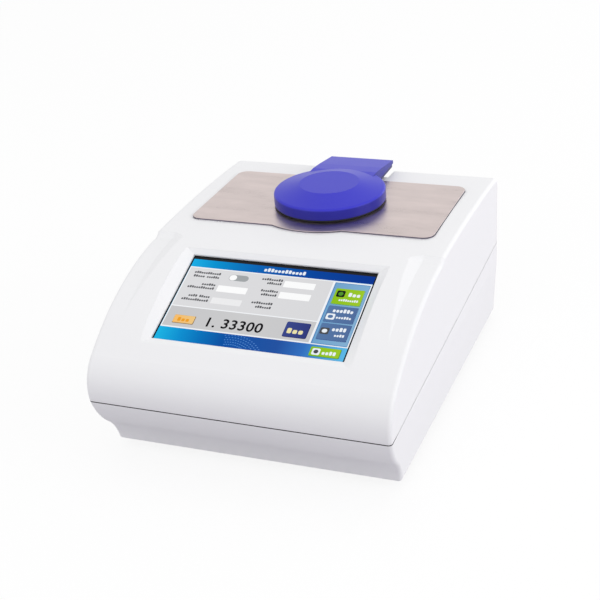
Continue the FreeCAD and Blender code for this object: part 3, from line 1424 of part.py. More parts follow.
port("usb_socket", usb_width, usb_tall, usb_depth, usb_z, usb_wall, usb_cavity_depth)
port("network_socket", network_width, network_tall, network_depth, network_z, network_wall,
     network_cavity_depth)
tongue_low = panel_face + port_reach - usb_cavity_depth
node("usb_tongue", box("usb_tongue_plate", usb_width - 4 * usb_wall, usb_tongue_depth, usb_tongue_thickness,
                       port_x, tongue_low, usb_z, "xz"))

# Round lid on its arm
lid_low = up(plate_top_height + lid_lift)
lid_rim_top = lid_low + lid_rim_height
lid_top = lid_rim_top + lid_crown_height
lid_inner_radius = lid_radius - lid_wall
lid_disc = turned_body("lid_disc", (0, lid_low), (lid_radius, lid_low), (lid_radius, lid_rim_top),
                       (lid_flat_radius, lid_top), (0, lid_top))
lid_space = turned_body(
    "lid_space", (0, lid_low - overrun), (lid_inner_radius, lid_low - overrun),
    (lid_inner_radius, lid_rim_top - lid_wall * ARC_SHARE * 2), (lid_flat_radius - lid_wall * ARC_SHARE,
                                                                lid_top - lid_wall),
    (0, lid_top - lid_wall))
soften(lid_disc, lid_edge_round, lambda middle: middle.z > value_of(lid_low + lid_wall))
round_lid_axis(lid_disc)
round_lid_axis(lid_space)
arm_split = lid_low + arm_split_rise
arm_tail_y = hinge_y + arm_tail_overhang
arm_bar = extrusion("arm_bar", outline(
    loose_sketch("arm_profile", "YZ"),
    (lid_y, arm_split), (arm_tail_y, arm_split),
    (arm_tail_y, lid_low + arm_tail_rise), (lid_y + arm_bend_reach, lid_low + arm_bend_rise),
    (lid_y + arm_root_reach, lid_low + arm_root_rise), (lid_y, lid_low + arm_root_rise)), 2 * arm_half_width)
rim_notch = box("rim_notch", 2 * (arm_half_width - arm_step + contact_gap), lid_radius, arm_split_rise,
                0, lid_y, lid_low, "x")
node("lid_shell", cut("lid_shell_body", fuse("lid_solid", lid_disc, arm_bar), lid_space, rim_notch))

hinge_z = up(plate_top_height - hinge_drop)
base_half = arm_half_width - arm_step
liner = cylinder("liner_disc", lid_inner_radius - lid_liner_gap, arm_split_rise, 0, lid_y, lid_low)
arm_floor_low = up(plate_top_height + arm_gap)
arm_floor_end = arm_tail_y - arm_step
arm_floor_start = lid_y + lid_radius + arm_floor_gap
arm_bridge = box("arm_bridge", 2 * base_half, arm_floor_end - lid_y, arm_split_rise, 0, lid_y, lid_low, "x")
arm_floor = box("arm_floor", 2 * base_half, arm_floor_end - arm_floor_start, arm_split - arm_floor_low,
                0, arm_floor_start, arm_floor_low, "x")
knuckle = cylinder("lid_knuckle", knuckle_radius, 2 * pin_half_length, -pin_half_length, hinge_y, hinge_z, "x")
ear_slots = [box("ear_slot_%d" % i, ear_thickness + 2 * ear_gap, 2 * (ear_radius + ear_gap),
                 2 * (ear_radius + ear_gap), side * ear_spacing, hinge_y, hinge_z, "xyz")
             for i, side in enumerate((-1, 1))]
pin_bore = cylinder("pin_bore", pin_radius + pin_gap, 2 * pin_half_length + 2 * overrun,
                    -pin_half_length - overrun, hinge_y, hinge_z, "x")
node("lid_base", cut("lid_base_body", fuse("lid_base_solid", liner, arm_bridge, arm_floor, knuckle),
                     pin_bore, *ear_slots))
gasket_low = up(plate_top_height + contact_gap)
gasket_outer = lid_radius - arm_step
gasket = turned_body("gasket_ring", (gasket_outer - gasket_width, gasket_low), (gasket_outer, gasket_low),
                     (gasket_outer, lid_low), (gasket_outer - gasket_width, lid_low))
node("lid_gasket", round_lid_axis(gasket))
node("lid_presser", cylinder("presser_disc", presser_radius, presser_thickness, 0, lid_y,
                             lid_low - presser_thickness))
magnet_y = lid_y - magnet_reach
node("lid_magnet", cylinder("lid_magnet_disc", magnet_radius, magnet_thickness, 0, magnet_y, arm_split))
node("deck_magnet", cylinder("deck_magnet_disc", magnet_radius, magnet_thickness, 0, magnet_y,
                             plate_floor - magnet_thickness))

# Hinge in a notch at the rear of the cover
notch_floor = hinge_z - notch_depth
notch_half = arm_half_width + notch_side_gap
notch_start = hinge_y - notch_front_gap
plate_top = notch_floor + bracket_plate_thickness
node("hinge_pin", cylinder("pin_bar", pin_radius, 2 * pin_half_length, -pin_half_length, hinge_y, hinge_z,
                           "x"))
ears = []
for i, side in enumerate((-1, 1)):
    ear_x = side * ear_spacing
    ears.append(box("ear_web_%d" % i, ear_thickness, ear_radius - contact_gap, hinge_z - notch_floor, ear_x,
                    hinge_y - ear_radius, notch_floor, "x"))
    ears.append(cylinder("ear_eye_%d" % i, ear_radius, ear_thickness, ear_x - ear_thickness / 2, hinge_y,
                         hinge_z, "x"))
bracket_plate = box("bracket_plate", 2 * bracket_half_width, bracket_depth, bracket_plate_thickness, 0,
                    hinge_y, notch_floor)
hinge_spots = [(side * hinge_screw_spread, hinge_y, plate_top) for side in (-1, 1)]
hinge_holes = [cylinder("hinge_hole_%d" % i, screw_radius, screw_grip, x, y, z - screw_grip)
               for i, (x, y, z) in enumerate(hinge_spots)]
pin_eye = cylinder("pin_eye", pin_radius, 2 * pin_half_length, -pin_half_length, hinge_y, hinge_z, "x")
node("hinge_bracket", cut("bracket_body", fuse("bracket_solid", bracket_plate, *ears), pin_eye,
                          *hinge_holes))
hinge_screws = fasteners("hinge_screw", hinge_spots, "z", False, screw_radius, screw_grip,
                         screw_head_radius, screw_head_height)
node("hinge_screws", hinge_screws)

# Cover: shell, display tray, hinge tray and posts
notch_tray = box("notch_tray", 2 * (notch_half + notch_wall), body_depth, notch_depth * 2, 0,
                 notch_start - notch_wall, notch_floor - notch_wall, "x")
notch = box("notch", 2 * notch_half, body_depth, notch_depth * 2, 0, notch_start, notch_floor, "x")
hinge_bosses = [cylinder("hinge_boss_%d" % i, screen_boss_radius, notch_wall * 2, x, y,
                         notch_floor - notch_wall * 2) for i, (x, y, z) in enumerate(hinge_spots)]
magnet_boss = cylinder("magnet_boss", magnet_radius + notch_wall, magnet_thickness + notch_wall, 0, magnet_y,
                       plate_floor - magnet_thickness - notch_wall)
magnet_pit = cylinder("magnet_pit", magnet_radius, magnet_thickness + plate_thickness, 0, magnet_y,
                      plate_floor - magnet_thickness)
dish_opening = cylinder("dish_opening", dish_radius + cover_hole_gap, up(section_top) - up(dish_bottom), 0,
                        lid_y, up(dish_bottom) + dish_flange_thickness)
post_spots = [(side * post_x, y) for side in (-1, 1)
              for y in (back(post_front_setback), rear(post_rear_inset))]
posts = [cylinder("post_%d" % i, post_radius, up(section_top) - up(post_foot), x, y, up(post_foot))
         for i, (x, y) in enumerate(post_spots)]
post_holes = [cylinder("post_hole_%d" % i, bolt_radius, bolt_length, x, y, up(post_foot))
              for i, (x, y) in enumerate(post_spots)]
cover_shell = common("cover_shell", shell, above_seam)
cover_fittings = common("cover_fittings",
                        fuse("fittings", tray_plate, tray_walls, screen_bosses, notch_tray, *posts), outside)
cover_solid = fuse("cover_solid", cover_shell, cover_fittings, magnet_boss, *hinge_bosses)
node("top_cover", cut("cover_body", cover_solid, seam_ring, recess, window_hole, glass_bed, screen_boss_holes,
                      plate_bed, magnet_pit, dish_opening, notch, *(hinge_holes + post_holes)))

# Base: shell below the seam, floor bosses, feet
foot_x = base_half_width - foot_inset
foot_spots = [(side * foot_x, y) for side in (-1, 1) for y in (back(foot_front_setback), rear(foot_rear_inset))]
foot_bosses = [cylinder("foot_boss_%d" % i, foot_boss_radius, foot_boss_height, x, y, up(0))
               for i, (x, y) in enumerate(foot_spots)]
post_sockets = [cylinder("post_socket_%d" % i, post_radius, post_foot, x, y, up(0))
                for i, (x, y) in enumerate(post_spots)]
foot_holes = [cylinder("foot_screw_hole_%d" % i, bolt_radius, bolt_length - foot_web, x, y, up(0))
              for i, (x, y) in enumerate(foot_spots)]
cover_seats = [cylinder("cover_seat_%d" % i, bolt_head_radius + screw_clearance, bolt_head_height, x, y, up(0))
               for i, (x, y) in enumerate(post_spots)]
cover_holes = [cylinder("cover_hole_%d" % i, bolt_radius + screw_clearance, post_foot, x, y, up(0))
               for i, (x, y) in enumerate(post_spots)]
rear_opening = box("rear_opening", 2 * opening_half_width, wall + overrun, opening_high - opening_low, 0,
                   rear(wall), up(opening_low), "x")
rear_screw_holes = []
for i, (x, z) in enumerate(panel_corners):
    rear_screw_holes.append(cylinder("rear_hole_%d" % i, panel_screw_radius + screw_clearance, wall, x,
                                     rear(wall), z, "y"))
    rear_screw_holes.append(cylinder("rear_seat_%d" % i, panel_head_radius + screw_clearance,
                                     panel_head_height, x, rear(panel_head_height), z, "y"))
base_solid = fuse("base_solid", cut("base_shell_form", shell, above_seam), *(foot_bosses + post_sockets))
node("base_shell", cut("base_body", base_solid, rear_opening,
                       *(foot_holes + cover_seats + cover_holes + rear_screw_holes)))
cover_screws = fasteners("cover_screw", [(x, y, up(bolt_head_height)) for x, y in post_spots], "z", True,
                         bolt_radius, bolt_length + post_foot - bolt_head_height, bolt_head_radius,
                         bolt_head_height)
node("cover_screws", cover_screws)
foot_screws = fasteners("foot_screw", [(x, y, foot_recess_height) for x, y in foot_spots], "z", True,
                        bolt_radius, bolt_length, bolt_head_radius, bolt_head_height)
node("foot_screws", foot_screws)
FOOT_NAMES = ("front_left", "rear_left", "front_right", "rear_right")
for name, (x, y) in zip(FOOT_NAMES, foot_spots):
    foot = turned_body(
        "foot_body_" + name,
        (bolt_radius, foot_recess_height), (foot_recess_radius, foot_recess_height), (foot_recess_radius, 0),
        (foot_radius - foot_taper, 0), (foot_radius, foot_taper), (foot_radius, foot_height),
        (bolt_radius, foot_height))
    node("foot_" + name, place(foot, x, y, 0))

# Check every piece, then write it
doc.recompute()
for thing in doc.Objects:
    if "Invalid" in thing.State or "Error" in thing.State:
        raise RuntimeError("%s is %s" % (thing.Name, thing.State))
os.makedirs("parts", exist_ok=True)
for name, thing in nodes.items():
    shape = thing.Shape
    if shape.isNull() or not shape.isValid() or not shape.Solids:
        raise RuntimeError(name + " has no valid solid")
    shape.exportStep("parts/%s.step" % name)
print(len(nodes), "pieces")
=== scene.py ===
"""Looks of a digital bench refractometer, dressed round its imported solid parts.

Lengths are in metres, or in millimetres where an attribute's note says so. The frame is that of the
solid parts: +X right, +Y from the nose to the rear wall, +Z up.
"""

import logging
import math
from dataclasses import dataclass, field
from enum import Enum, IntEnum, unique
from typing import Any, Iterable, Mapping, Union

import bpy
from mathutils import Matrix, Vector

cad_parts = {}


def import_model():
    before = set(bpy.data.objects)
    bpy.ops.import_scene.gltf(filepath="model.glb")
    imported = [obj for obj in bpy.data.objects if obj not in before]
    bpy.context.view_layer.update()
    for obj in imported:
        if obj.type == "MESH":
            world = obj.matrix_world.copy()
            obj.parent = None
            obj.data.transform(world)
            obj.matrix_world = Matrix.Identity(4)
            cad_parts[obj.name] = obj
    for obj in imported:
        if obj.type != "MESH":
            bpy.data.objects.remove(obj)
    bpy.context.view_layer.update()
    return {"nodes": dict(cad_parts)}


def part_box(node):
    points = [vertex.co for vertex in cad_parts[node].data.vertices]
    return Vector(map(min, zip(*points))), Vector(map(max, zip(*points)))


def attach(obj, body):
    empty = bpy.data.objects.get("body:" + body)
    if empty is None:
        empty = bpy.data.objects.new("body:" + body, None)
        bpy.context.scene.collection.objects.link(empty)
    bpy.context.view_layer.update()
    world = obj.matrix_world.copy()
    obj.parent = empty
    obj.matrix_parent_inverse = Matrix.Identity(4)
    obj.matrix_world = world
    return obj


LOG = logging.getLogger("refractometer")

Colour = tuple[float, float, float]
Number = Union[int, float, "Field"]
Point = tuple[float, float]

MM = 0.001
SCREEN_WIDTH = 0.1541
WHITE: Colour = (1.0, 1.0, 1.0)


def paint(red: int, green: int, blue: int) -> Colour:
    """Linear colour of a display colour.

    Args:
        red: Red, 0 to 255.
        green: Green, 0 to 255.
        blue: Blue, 0 to 255.

    Returns:
        The same colour in linear light.
    """
    def linear(level: int) -> float:
        """Linear light of one channel, by the curve that displays use."""
        share = level / 255.0
        return share / 12.92 if share <= 0.04045 else ((share + 0.055) / 1.055) ** 2.4

    return (linear(red), linear(green), linear(blue))


def shaded(colour: Colour, factor: float) -> Colour:
    """The colour, lighter or darker by a factor.

    Args:
        colour: Linear colour.
        factor: What each channel is multiplied by.

    Returns:
        The new linear colour, capped at one.
    """
    return tuple(min(1.0, channel * factor) for channel in colour)


class Field:
    """A number that varies over a surface: one node socket that takes part in Python sums."""

    def __init__(self, bench: "Bench", socket: bpy.types.NodeSocket) -> None:
        """Wraps a socket.

        Args:
            bench: The material's node bench.
            socket: The output socket that carries the number.
        """
        self.bench = bench
        self.socket = socket

    def _join(self, operation: str, left: Number, right: Number, clamp: bool = False) -> "Field":
        """Adds one Math node.

        Args:
            operation: The node's operation.
            left: First number.
            right: Second number.
            clamp: Keeps the result between 0 and 1.

        Returns:
            The result as a field.
        """
        node = self.bench.add("ShaderNodeMath", {"operation": operation, "use_clamp": clamp},
                              {0: left, 1: right})
        return Field(self.bench, node.outputs[0])

    def __add__(self, other: Number) -> "Field":
        """Sum."""
        return self._join("ADD", self, other)

    def __radd__(self, other: Number) -> "Field":
        """Sum with the field on the right."""
        return self._join("ADD", other, self)

    def __sub__(self, other: Number) -> "Field":
        """Difference."""
        return self._join("SUBTRACT", self, other)

    def __rsub__(self, other: Number) -> "Field":
        """Difference with the field on the right."""
        return self._join("SUBTRACT", other, self)

    def __mul__(self, other: Number) -> "Field":
        """Product."""
        return self._join("MULTIPLY", self, other)

    def __rmul__(self, other: Number) -> "Field":
        """Product with the field on the right."""
        return self._join("MULTIPLY", other, self)

    def __truediv__(self, other: Number) -> "Field":
        """Quotient."""
        return self._join("DIVIDE", self, other)

    def clamped(self) -> "Field":
        """The field kept between 0 and 1."""
        return self._join("ADD", self, 0.0, clamp=True)


class Bench:
    """The node tree of one material or of the world."""

    def __init__(self, tree: bpy.types.NodeTree, output: str) -> None:
        """Empties a tree and gives it an output.

        Args:
            tree: The node tree.
            output: Type of its output node.
        """
        self.tree = tree
        self.tree.nodes.clear()
        self.output = self.add(output)
        self.material: bpy.types.Material | None = None
        self.shader: bpy.types.Node | None = None
        self._place: bpy.types.NodeSocket | None = None

    @classmethod
    def of_material(cls, name: str) -> "Bench":
        """Starts a new material with its shader.

        Args:
            name: Name of the material.

        Returns:
            Its bench.
        """
        material = bpy.data.materials.new(name)
        material.use_nodes = True
        bench = cls(material.node_tree, "ShaderNodeOutputMaterial")
        bench.material = material
        bench.shader = bench.add("ShaderNodeBsdfPrincipled")
        bench.feed(bench.output.inputs[0], bench.shader.outputs[0])
        return bench

    @classmethod
    def of_world(cls, world: bpy.types.World) -> "Bench":
        """The world's bench, emptied."""
        return cls(world.node_tree, "ShaderNodeOutputWorld")

    def add(self, kind: str, settings: Mapping[str, Any] | None = None,
            sockets: Mapping[Any, Any] | None = None) -> bpy.types.Node:
        """Adds a node of any kind.

        Args:
            kind: The node's type.
            settings: Its settings, and for a ramp its stops as (place, colour) pairs. They come first.
            sockets: Values or links of its inputs, by name or number.

        Returns:
            The new node.
        """
        node = self.tree.nodes.new(kind)
        for name, setting in (settings or {}).items():
            if name == "stops":
                elements = node.color_ramp.elements
                while len(elements) < len(setting):
                    elements.new(0.5)
                for element, (place, colour) in zip(elements, setting):
                    element.position = place
                    element.color = (*colour, 1.0)
            else:
                setattr(node, name, setting)
        for name, given in (sockets or {}).items():
            self.feed(node.inputs[name], given)
        return node

    def feed(self, socket: bpy.types.NodeSocket, given: Any) -> None:
        """Gives an input its value or its link.

        Args:
            socket: The input.
            given: A number, a colour, a vector, a field or an output socket.
        """
        if isinstance(given, Field):
            self.tree.links.new(given.socket, socket)
        elif isinstance(given, bpy.types.NodeSocket):
            self.tree.links.new(given, socket)
        elif isinstance(given, tuple) and len(given) == 3 and socket.type == "RGBA":
            socket.default_value = (*given, 1.0)
        else:
            socket.default_value = given

    def finish(self, **inputs: Any) -> None:
        """Gives the shader's inputs, with underscores for the spaces in their names."""
        for name, given in inputs.items():
            self.feed(self.shader.inputs[name.replace("_", " ")], given)

    def place(self) -> bpy.types.NodeSocket:
        """The point's place in the piece's own frame.

        Returns:
            The place in metres.
        """
        if self._place is None:
            self._place = self.add("ShaderNodeTexCoord").outputs["Object"]
        return self._place

    def axes(self, vector: bpy.types.NodeSocket) -> tuple[Field, ...]:
        """Splits a vector.

        Args:
            vector: The socket that carries it.

        Returns:
            Its X, Y and Z.
        """
        node = self.add("ShaderNodeSeparateXYZ", None, {0: vector})
        return tuple(Field(self, output) for output in node.outputs)

    def height(self) -> Field:
        """Height of the shaded point over the floor at rest."""
        return self.axes(self.place())[2]

    def upward(self) -> Field:
        """How far the shaded face looks up at rest, from -1 to 1."""
        return self.axes(self.add("ShaderNodeTexCoord").outputs["Normal"])[2]

    def stretched(self, scale: tuple[float, float, float]) -> bpy.types.NodeSocket:
        """The point's place, stretched along each axis.

        Args:
            scale: Factor along X, Y and Z.

        Returns:
            The stretched place.
        """
        return self.add("ShaderNodeMapping", {"vector_type": "TEXTURE"},
                        {"Vector": self.place(),
                         "Scale": tuple(1.0 / part for part in scale)}).outputs[0]

    def noise(self, size: float, detail: float = 3.0, rough: float = 0.55,
              vector: bpy.types.NodeSocket | None = None) -> Field:
        """Soft random variation.

        Args:
            size: Width of one blotch in metres.
            detail: Octaves.
            rough: How strong the finer octaves are.
            vector: Place to read, or the point's own place.

        Returns:
            A field round one half.
        """
        node = self.add("ShaderNodeTexNoise", None,
                        {"Vector": vector or self.place(), "Scale": 1.0 / size, "Detail": detail,
                         "Roughness": rough})
        return Field(self, node.outputs["Fac"])

    def between(self, share: Field, low: Colour, high: Colour) -> bpy.types.NodeSocket:
        """A colour between two.

        Args:
            share: 0 for the first, 1 for the second.
            low: First colour.
            high: Second colour.

        Returns:
            The mixed colour.
        """
        node = self.add("ShaderNodeMix", {"data_type": "RGBA"},
                        {"Factor": share, 6: low, 7: high})
        return node.outputs[2]

    def relief(self, height: Field, depth: float, strength: float, radius: float,
               samples: int = 4) -> bpy.types.NodeSocket:
        """Fine relief over softened edges.

        Args:
            height: Field that is raised.
            depth: Height of the relief in metres.
            strength: How much of it shows.
            radius: Radius by which edges look rounded, in metres.
            samples: How finely the rounding is sampled.

        Returns:
            The normal.
        """
        edge = self.add("ShaderNodeBevel", {"samples": samples}, {"Radius": radius})
        return self.add("ShaderNodeBump", None,
                        {"Strength": strength, "Distance": depth, "Height": height,
                         "Normal": edge.outputs[0]}).outputs[0]


@dataclass(frozen=True)
class SeamShadow:
    """The painted shadow in the groove between two mouldings, deepest along the front.

    Attributes:
        height: Height of the groove's foot over the floor, half way back.
        slope: How much the foot rises per metre towards the rear.
        width: Width of the line.
        lap: How far the line reaches under the groove's foot.
        blur: Width over which its edges fade.
        front: Y where the line is at its deepest, and every Y before it.
        fade: Length over which it fades to its strength at the sides.
        side: Its strength at the sides.
        colour: Its linear colour.
    """

    height: float = 0.06515
    slope: float = 0.06166
    width: float = 0.00082
    lap: float = 0.00015
    blur: float = 0.0001
    front: float = -0.148
    fade: float = 0.010
    side: float = 0.1
    colour: Colour = paint(34, 32, 40)

    def line(self, bench: Bench) -> Field:
        """Strength of the painted shadow line at the shaded point.

        Args:
            bench: The material's bench.

        Returns:
            A field from 0 to 1.
        """
        _, along, level = bench.axes(bench.place())
        above = level - along * self.slope - self.height
        foot = ((above + self.lap) / self.blur).clamped()
        head = ((self.width - above) / self.blur).clamped()
        side = ((along - self.front) / self.fade).clamped()
        return foot * head * (1.0 - side * (1.0 - self.side))


@dataclass(frozen=True)
class Moulding:
    """Moulded plastic or rubber with a fine grain.

    Attributes:
        name: Name of the material.
        colour: Linear colour.
        roughness: Middle roughness.
        grain: Width of one grain in metres.
        depth: Depth of the grain in metres.
        coat: Weight of a clear gloss over it.
        edge: Radius of softened edges in metres.
        variation: How much the colour varies from place to place.
        shine: Strength of plain reflections.
        sides: Share of the colour's strength that upright faces keep, as painted shade.
        seam_shadow: The painted shadow line in the groove between two mouldings, or None.
        blotch: Width of one soft blotch of colour in metres.
        turn: How fast that painted shade fades as a face turns from upright to level.
        blotch_roughness: How much the blotches change the roughness.
        grain_roughness: How much the grain changes the roughness.
        relief: How much of the grain's depth shows.
        coat_roughness: Roughness of the gloss over it.
    """

    name: str
    colour: Colour
    roughness: float = 0.45
    grain: float = 0.0006
    depth: float = 0.00004
    coat: float = 0.0
    edge: float = 0.0006
    variation: float = 0.04
    shine: float = 0.5
    sides: float = 1.0
    seam_shadow: SeamShadow | None = None
    blotch: float = 0.06
    turn: float = 1.8
    blotch_roughness: float = 0.12
    grain_roughness: float = 0.06
    relief: float = 0.35
    coat_roughness: float = 0.12

    def make(self) -> bpy.types.Material:
        """Builds the material.

        Returns:
            The material.
        """
        bench = Bench.of_material(self.name)
        grain = bench.noise(self.grain, detail=2.0, rough=0.5)
        blotch = bench.noise(self.blotch)
        colour = bench.between(blotch, shaded(self.colour, 1.0 - self.variation), self.colour)
        # Painted shade: upright faces are darker than level ones.
        if self.sides < 1.0:
            upright = (1.0 - bench.upward() * self.turn).clamped()
            colour = bench.between(upright, colour, shaded(self.colour, self.sides))
        # Painted shadow line in the groove between the mouldings, darkest along the front.
        if self.seam_shadow:
            colour = bench.between(self.seam_shadow.line(bench), colour, self.seam_shadow.colour)
        uneven = (blotch - 0.5) * self.blotch_roughness + (grain - 0.5) * self.grain_roughness
        bench.finish(
            Base_Color=colour,
            Roughness=(self.roughness + uneven).clamped(),
            Normal=bench.relief(grain, self.depth, self.relief, self.edge),
            Coat_Weight=self.coat, Coat_Roughness=self.coat_roughness, Specular_IOR_Level=self.shine)
        return bench.material


@dataclass(frozen=True)
class Metal:
    """Sheet or turned metal with brush or tool marks.

    Attributes:
        name: Name of the material.
        colour: Linear colour.
        roughness: Middle roughness.
        stretch: How much finer the marks are along X, Y and Z.
        mark: Width of one mark in metres.
        depth: Depth of the marks in metres.
        streaks: How much the marks change the colour.
        metallic: Metallic weight.
        edge: Radius of softened edges in metres.
        plate: Name of the part below whose upper face the painted shadow line and the painted reflection
            band lie, or nothing.
        smear: Width of one soft smear in metres.
        smear_stretch_share: Share of the marks' stretch that the smears have.
        mark_share: Share of the marks in the streaks, beside the smears.
        contrast: How much the streaks are spread from their middle.
        shadow: Linear colour of the painted shadow line just under the upper face.
        shadow_start: How far under the upper face that line starts, in metres.
        shadow_fade: Length over which it reaches its full strength, in metres.
        painted_reflection: Linear colour of the painted reflection, a pale band on the edge face under
            the shadow line.
        reflection_start: How far under the upper face the painted reflection starts, in metres.
        reflection_fade: Length over which it reaches its full strength, in metres.
        smear_roughness: How much the smears change the roughness.
        mark_roughness: How much the marks change the roughness.
        relief: How much of the marks' depth shows.
    """

    name: str
    colour: Colour
    roughness: float = 0.32
    stretch: tuple[float, float, float] = (1.0, 1.0, 1.0)
    mark: float = 0.0006
    depth: float = 0.00002
    streaks: float = 0.12
    metallic: float = 1.0
    edge: float = 0.0003
    plate: str = ""
    smear: float = 0.045
    smear_stretch_share: float = 0.07
    mark_share: float = 0.15
    contrast: float = 2.4
    shadow: Colour = paint(84, 78, 96)
    shadow_start: float = 0.0001
    shadow_fade: float = 0.0002
    painted_reflection: Colour = paint(250, 248, 250)
    reflection_start: float = 0.00105
    reflection_fade: float = 0.0003
    smear_roughness: float = 0.14
    mark_roughness: float = 0.10
    relief: float = 0.3

    def make(self) -> bpy.types.Material:
        """Builds the material.

        Returns:
            The material.
        """
        bench = Bench.of_material(self.name)
        marks = bench.noise(self.mark, detail=4.0, rough=0.6, vector=bench.stretched(self.stretch))
        drawn = tuple(1.0 + (factor - 1.0) * self.smear_stretch_share for factor in self.stretch)
        smear = bench.noise(self.smear, rough=0.6, vector=bench.stretched(drawn))
        streak = marks * self.mark_share + smear * (1.0 - self.mark_share)
        colour = bench.between(((streak - 0.5) * self.contrast + 0.5).clamped(),
                               shaded(self.colour, 1.0 - self.streaks), self.colour)
        # Painted shadow line just under the plate's upper face, and below it a pale painted reflection
        # band on the edge face.
        if self.plate:
            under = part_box(self.plate)[1][2] - bench.height()
            colour = bench.between(((under - self.shadow_start) / self.shadow_fade).clamped(),
                                   colour, self.shadow)
            colour = bench.between(((under - self.reflection_start) / self.reflection_fade).clamped(),
                                   colour, self.painted_reflection)
        uneven = (smear - 0.5) * self.smear_roughness + (marks - 0.5) * self.mark_roughness
        bench.finish(
            Base_Color=colour,
            Metallic=self.metallic,
            Roughness=(self.roughness + uneven).clamped(),
            Normal=bench.relief(marks, self.depth, self.relief, self.edge))
        return bench.material


@dataclass(frozen=True)
class Glass:
    """Clear or tinted glass.

    Attributes:
        name: Name of the material.
        colour: Linear tint.
        clear: Share of light that passes.
        roughness: Roughness of the polish.
        index: Index of refraction.
        smear: Width of one faint smear in metres.
        smear_shade: Share of the tint's strength that the smears keep.
        smear_roughness: How much rougher the smears are.
    """

    name: str
    colour: Colour
    clear: float = 0.8
    roughness: float = 0.04
    index: float = 1.5
    smear: float = 0.02
    smear_shade: float = 0.92
    smear_roughness: float = 0.05

    def make(self) -> bpy.types.Material:
        """Builds the material.

        Returns:
            The material.
        """
        bench = Bench.of_material(self.name)
        smear = bench.noise(self.smear)
        bench.finish(
            Base_Color=bench.between(smear, shaded(self.colour, self.smear_shade), self.colour),
            Roughness=(self.roughness + smear * self.smear_roughness).clamped(),
            Transmission_Weight=self.clear, IOR=self.index)
        return bench.material


@dataclass(frozen=True)
class Board:
    """Solder mask over copper tracks.

    Attributes:
        name: Name of the material.
        mask: Linear colour of the mask.
        track: Linear colour where copper lies under it.
        pitch: Distance between tracks in metres.
        turn_every: How many tracks run alike before they turn.
        distortion: How much the tracks wander.
        track_start: Level of the bands above which copper shows.
        track_sharpness: How sharp a track's edge is.
        roughness: Roughness of the mask.
        track_roughness: How much rougher the mask is over copper.
        height: Height of the copper in metres.
        relief: How much of that height shows.
        edge: Radius of softened edges in metres.
    """

    name: str
    mask: Colour
    track: Colour
    pitch: float = 0.0022
    turn_every: float = 4.0
    distortion: float = 1.5
    track_start: float = 0.55
    track_sharpness: float = 6.0
    roughness: float = 0.35
    track_roughness: float = 0.1
    height: float = 0.00003
    relief: float = 0.5
    edge: float = 0.0003

    def make(self) -> bpy.types.Material:
        """Builds the material.

        Returns:
            The material.
        """
        bench = Bench.of_material(self.name)
        cells = bench.add("ShaderNodeTexVoronoi", {"feature": "F1", "distance": "MANHATTAN"},
                          {"Vector": bench.place(), "Scale": 1.0 / (self.pitch * self.turn_every)})
        bands = bench.add("ShaderNodeTexWave", {"wave_type": "BANDS", "bands_direction": "DIAGONAL"},
                          {"Vector": cells.outputs["Position"], "Scale": 1.0 / self.pitch,
                           "Distortion": self.distortion})
        tracks = Field(bench, bands.outputs["Fac"])
        shown = ((tracks - self.track_start) * self.track_sharpness).clamped()
        bench.finish(Base_Color=bench.between(shown, self.mask, self.track),
                     Roughness=(self.roughness + shown * self.track_roughness).clamped(),
                     Normal=bench.relief(shown, self.height, self.relief, self.edge))
        return bench.material


@dataclass(frozen=True)
class Ink:
    """A lit colour of the display, with a gradient across it.

    Attributes:
        name: Name of the material.
        stops: (share of the width, linear colour) pairs.
        span: Width of the gradient in metres.
        dot: Width of one picture dot in metres.
        dot_strength: How much the dots show.
        dot_colour: Linear colour that the light between dots is multiplied by.
        roughness: Roughness of the glass over it.
        shine: Strength of plain reflections.
    """

    name: str
    stops: tuple[tuple[float, Colour], ...]
    span: float = SCREEN_WIDTH
    dot: float = 0.0009
    dot_strength: float = 0.10
    dot_colour: Colour = (0.55, 0.55, 0.6)
    roughness: float = 0.35
    shine: float = 0.02

    def make(self) -> bpy.types.Material:
        """Builds the material.

        Returns:
            The material.
        """
        bench = Bench.of_material(self.name)
        across = (bench.axes(bench.place())[0] / self.span + 0.5).clamped()
        dots = bench.noise(self.dot, detail=1.0)
        ramp = bench.add("ShaderNodeValToRGB", {"stops": self.stops}, {0: across})
        lit = bench.add("ShaderNodeMix", {"data_type": "RGBA", "blend_type": "MULTIPLY"},
                        {"Factor": (dots * self.dot_strength).clamped(), 6: ramp.outputs[0],
                         7: self.dot_colour})
        bench.finish(Base_Color=(0.0, 0.0, 0.0), Roughness=self.roughness,
                     Specular_IOR_Level=self.shine, Emission_Color=lit.outputs[2],
                     Emission_Strength=1.0)
        return bench.material


